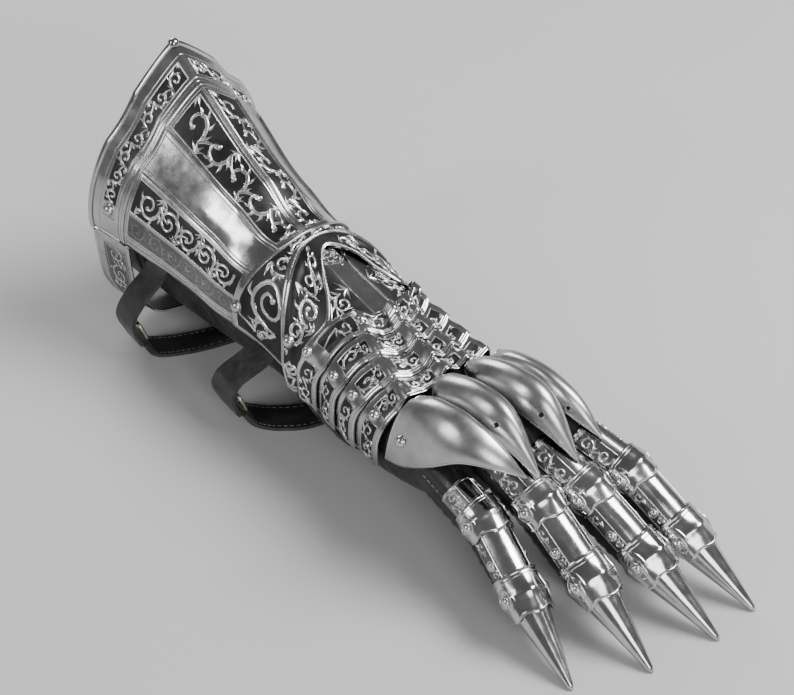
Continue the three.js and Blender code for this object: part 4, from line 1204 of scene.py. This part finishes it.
BUCKLE_HALF, BUCKLE_OVER, BUCKLE_BAR = 8.2, 3.2, 2.6   # half length, reach past the strap, bar
BUCKLE_AT, BUCKLE_LIFT, BUCKLE_DEPTH = 0.86, 2.5, 2.2  # place along the billet, gap, depth


def buckle(name, s):
    band = Band(s["billet"], LEVEL, s["w"])
    p, _, side, up = band.frame(np.array(BUCKLE_AT))
    c = p + up * (STRAP / 2 + BUCKLE_LIFT + BUCKLE_DEPTH / 2)
    fwd = np.cross(up, side)
    b = Piece(f"buckle_{name}_metal")
    w, h = s["w"] / 2 + BUCKLE_OVER - BUCKLE_BAR / 2, BUCKLE_HALF - BUCKLE_BAR / 2
    a = circle(96)
    n = 5.0
    ex = np.sign(np.cos(a)) * np.abs(np.cos(a)) ** (2 / n) * w
    ey = np.sign(np.sin(a)) * np.abs(np.sin(a)) ** (2 / n) * h
    line = c + ex[:, None] * side + ey[:, None] * fwd
    tan = unit(np.roll(line, -1, 0) - np.roll(line, 1, 0))
    out = np.cross(tan, up)
    rows = [line + 1.25 * math.cos(q) * out + 1.05 * math.sin(q) * up for q in circle(12)]
    b.grid(np.stack(rows), "brass", wrap_u=True, wrap_v=True)
    q = np.linspace(-7.0, 7.5, 24)
    mid = c + q[:, None] * fwd + (1.55 - 0.25 * np.cos(q * 0.4))[:, None] * up
    rows = [mid + 1.05 * math.cos(e) * side + 0.85 * math.sin(e) * up for e in circle(10)]
    b.grid(np.stack(rows), "brass", wrap_v=True)
    for e in (0, -1):
        ring = np.stack([r[e] for r in rows])
        end = fwd * (1 if e else -1)
        cap = [ring, mix(ring, mid[e], 0.6) + 0.4 * end, 0 * ring + mid[e] + 0.5 * end]
        b.grid(np.stack(cap), "brass", wrap_u=True)
    b.finish([f"buckle_{name}"], 40)


def palm_strap():
    b = Piece("palm_strap_leather")

    def S(u, v):
        deg = mix(-109, -222, v)
        x = mix(-60, -46, np.sin(math.pi * v)) + (u - 0.5) * 22
        return arm_lift(x, deg, 0.5 + STRAP + 0 * v)

    us, vs = np.linspace(0, 1, 17), np.linspace(0, 1, 90)
    b.shell(S, arm_core, us, vs, STRAP, "strap", "strap", "edge")
    t = np.linspace(0.02, 0.98, 160)
    for u in (0.1, 0.9):
        for q in range(0, 156, 4):
            b.ribbon(S, arm_core, across(u, t[q:q + 3]), 0.8, 0.22, "thread", kind="thin")
    # strap holes drawn as near-black discs of painted shade
    for u, v in ((0.5, 0.05), (0.5, 0.94)):
        b.lathe(*spot(S, arm_core, u, v), [(1.9, -0.1), (1.75, 0.22), (1.3, 0.1), (0.01, 0.05)], "hole", 16)
    b.finish(["palm_strap"], 50)


# ---- build ---------------------------------------------------------------
cuff()
collar()
wrist_plate_1()
wrist_plate_2()
metacarpal_plate()
for i in range(4):
    hand_lame(i)
for name in GUARDS:
    knuckle_guard(name)
for name in DIGITS:
    digit_pieces(name)
    glove_finger(name)
glove_bag("glove_hand_leather", np.linspace(-94, 41, 110), "glove_hand", True)
glove_bag("glove_sleeve_leather", np.linspace(-236, -94.4, 110), "glove_sleeve", False)
palm_strap()
for name, s in STRAPS.items():
    near, under = Band(s["billet"], LEVEL, s["w"]), Band(s["loop"], AIMS, s["w"])
    band_piece(f"strap_billet_{name}_leather", f"strap_billet_{name}", near, (0.42, 0.6), 80)
    band_piece(f"strap_loop_{name}_leather", f"strap_loop_{name}", under, (0.62, 0.7, 0.78))
    buckle(name, s)
    b = Piece(f"strap_rivet_{name}_metal")
    p, _, _, up = near.frame(np.array(STRAP_RIVET_AT))
    b.dome(p + up * (STRAP / 2 + 0.9), up, 3.0, 2.4, collar=0.0)
    b.finish([f"strap_rivet_{name}"], 40)

# ---- floor, light and camera --------------------------------------------
def floor_paint(t, b):
    t.links.new(ramp(t, noise(t, 3, 3, 0.5), [(0.3, (0.47, 0.47, 0.47)), (0.7, (0.49, 0.49, 0.49))]),
                b.inputs["Base Color"])
    b.inputs["Roughness"].default_value = 0.75


me = bpy.data.meshes.new("floor")
me.from_pydata([(-4, -4, 0), (4, -4, 0), (4, 4, 0), (-4, 4, 0)], [], [(0, 1, 2, 3)])
me.materials.append(material("floor_pale", floor_paint))
floor = bpy.data.objects.new("floor", me)
bpy.context.scene.collection.objects.link(floor)

world = bpy.context.scene.world or bpy.data.worlds.new("world")
bpy.context.scene.world = world
world.use_nodes = True
back = world.node_tree.nodes.get("Background")
back.inputs[0].default_value = (0.62, 0.63, 0.65, 1)
back.inputs[1].default_value = 0.26


def lamp(name, at, aim, size, power, shape=1.0):
    d = bpy.data.lights.new(name, "AREA")
    d.shape, d.size, d.size_y, d.energy = "RECTANGLE", size, size * shape, power
    o = bpy.data.objects.new(name, d)
    o.location = at
    o.rotation_euler = (Vector(aim) - Vector(at)).to_track_quat("-Z", "Y").to_euler()
    bpy.context.scene.collection.objects.link(o)


lamp("key", (0.75, 0.95, 1.5), (0, 0, 0.05), 1.1, 62, 0.8)
lamp("side", (1.6, -0.7, 0.9), (0, 0, 0.05), 0.8, 15, 1.2)
lamp("rear", (-1.5, 0.5, 0.9), (0, 0, 0.05), 0.9, 16, 0.7)
lamp("strip", (-0.5, -1.5, 1.1), (0, 0, 0.05), 0.35, 9, 2.6)

az, el, far = math.radians(48), math.radians(40), 0.900
target = Vector(((-60 + SHIFT[0]) / 1000, (9 + SHIFT[1]) / 1000, 0.060))
cam_data = bpy.data.cameras.new("camera")
cam_data.lens, cam_data.sensor_width = 73.45, 36
cam_data.shift_x, cam_data.shift_y = 0.016, -0.0127
cam = bpy.data.objects.new("camera", cam_data)
back_dir = Vector((math.sin(az) * math.cos(el), -math.cos(az) * math.cos(el), math.sin(el)))
cam.location = target + back_dir * far
cam.rotation_euler = (-back_dir).to_track_quat("-Z", "Y").to_euler()
bpy.context.scene.collection.objects.link(cam)
bpy.context.scene.camera = cam
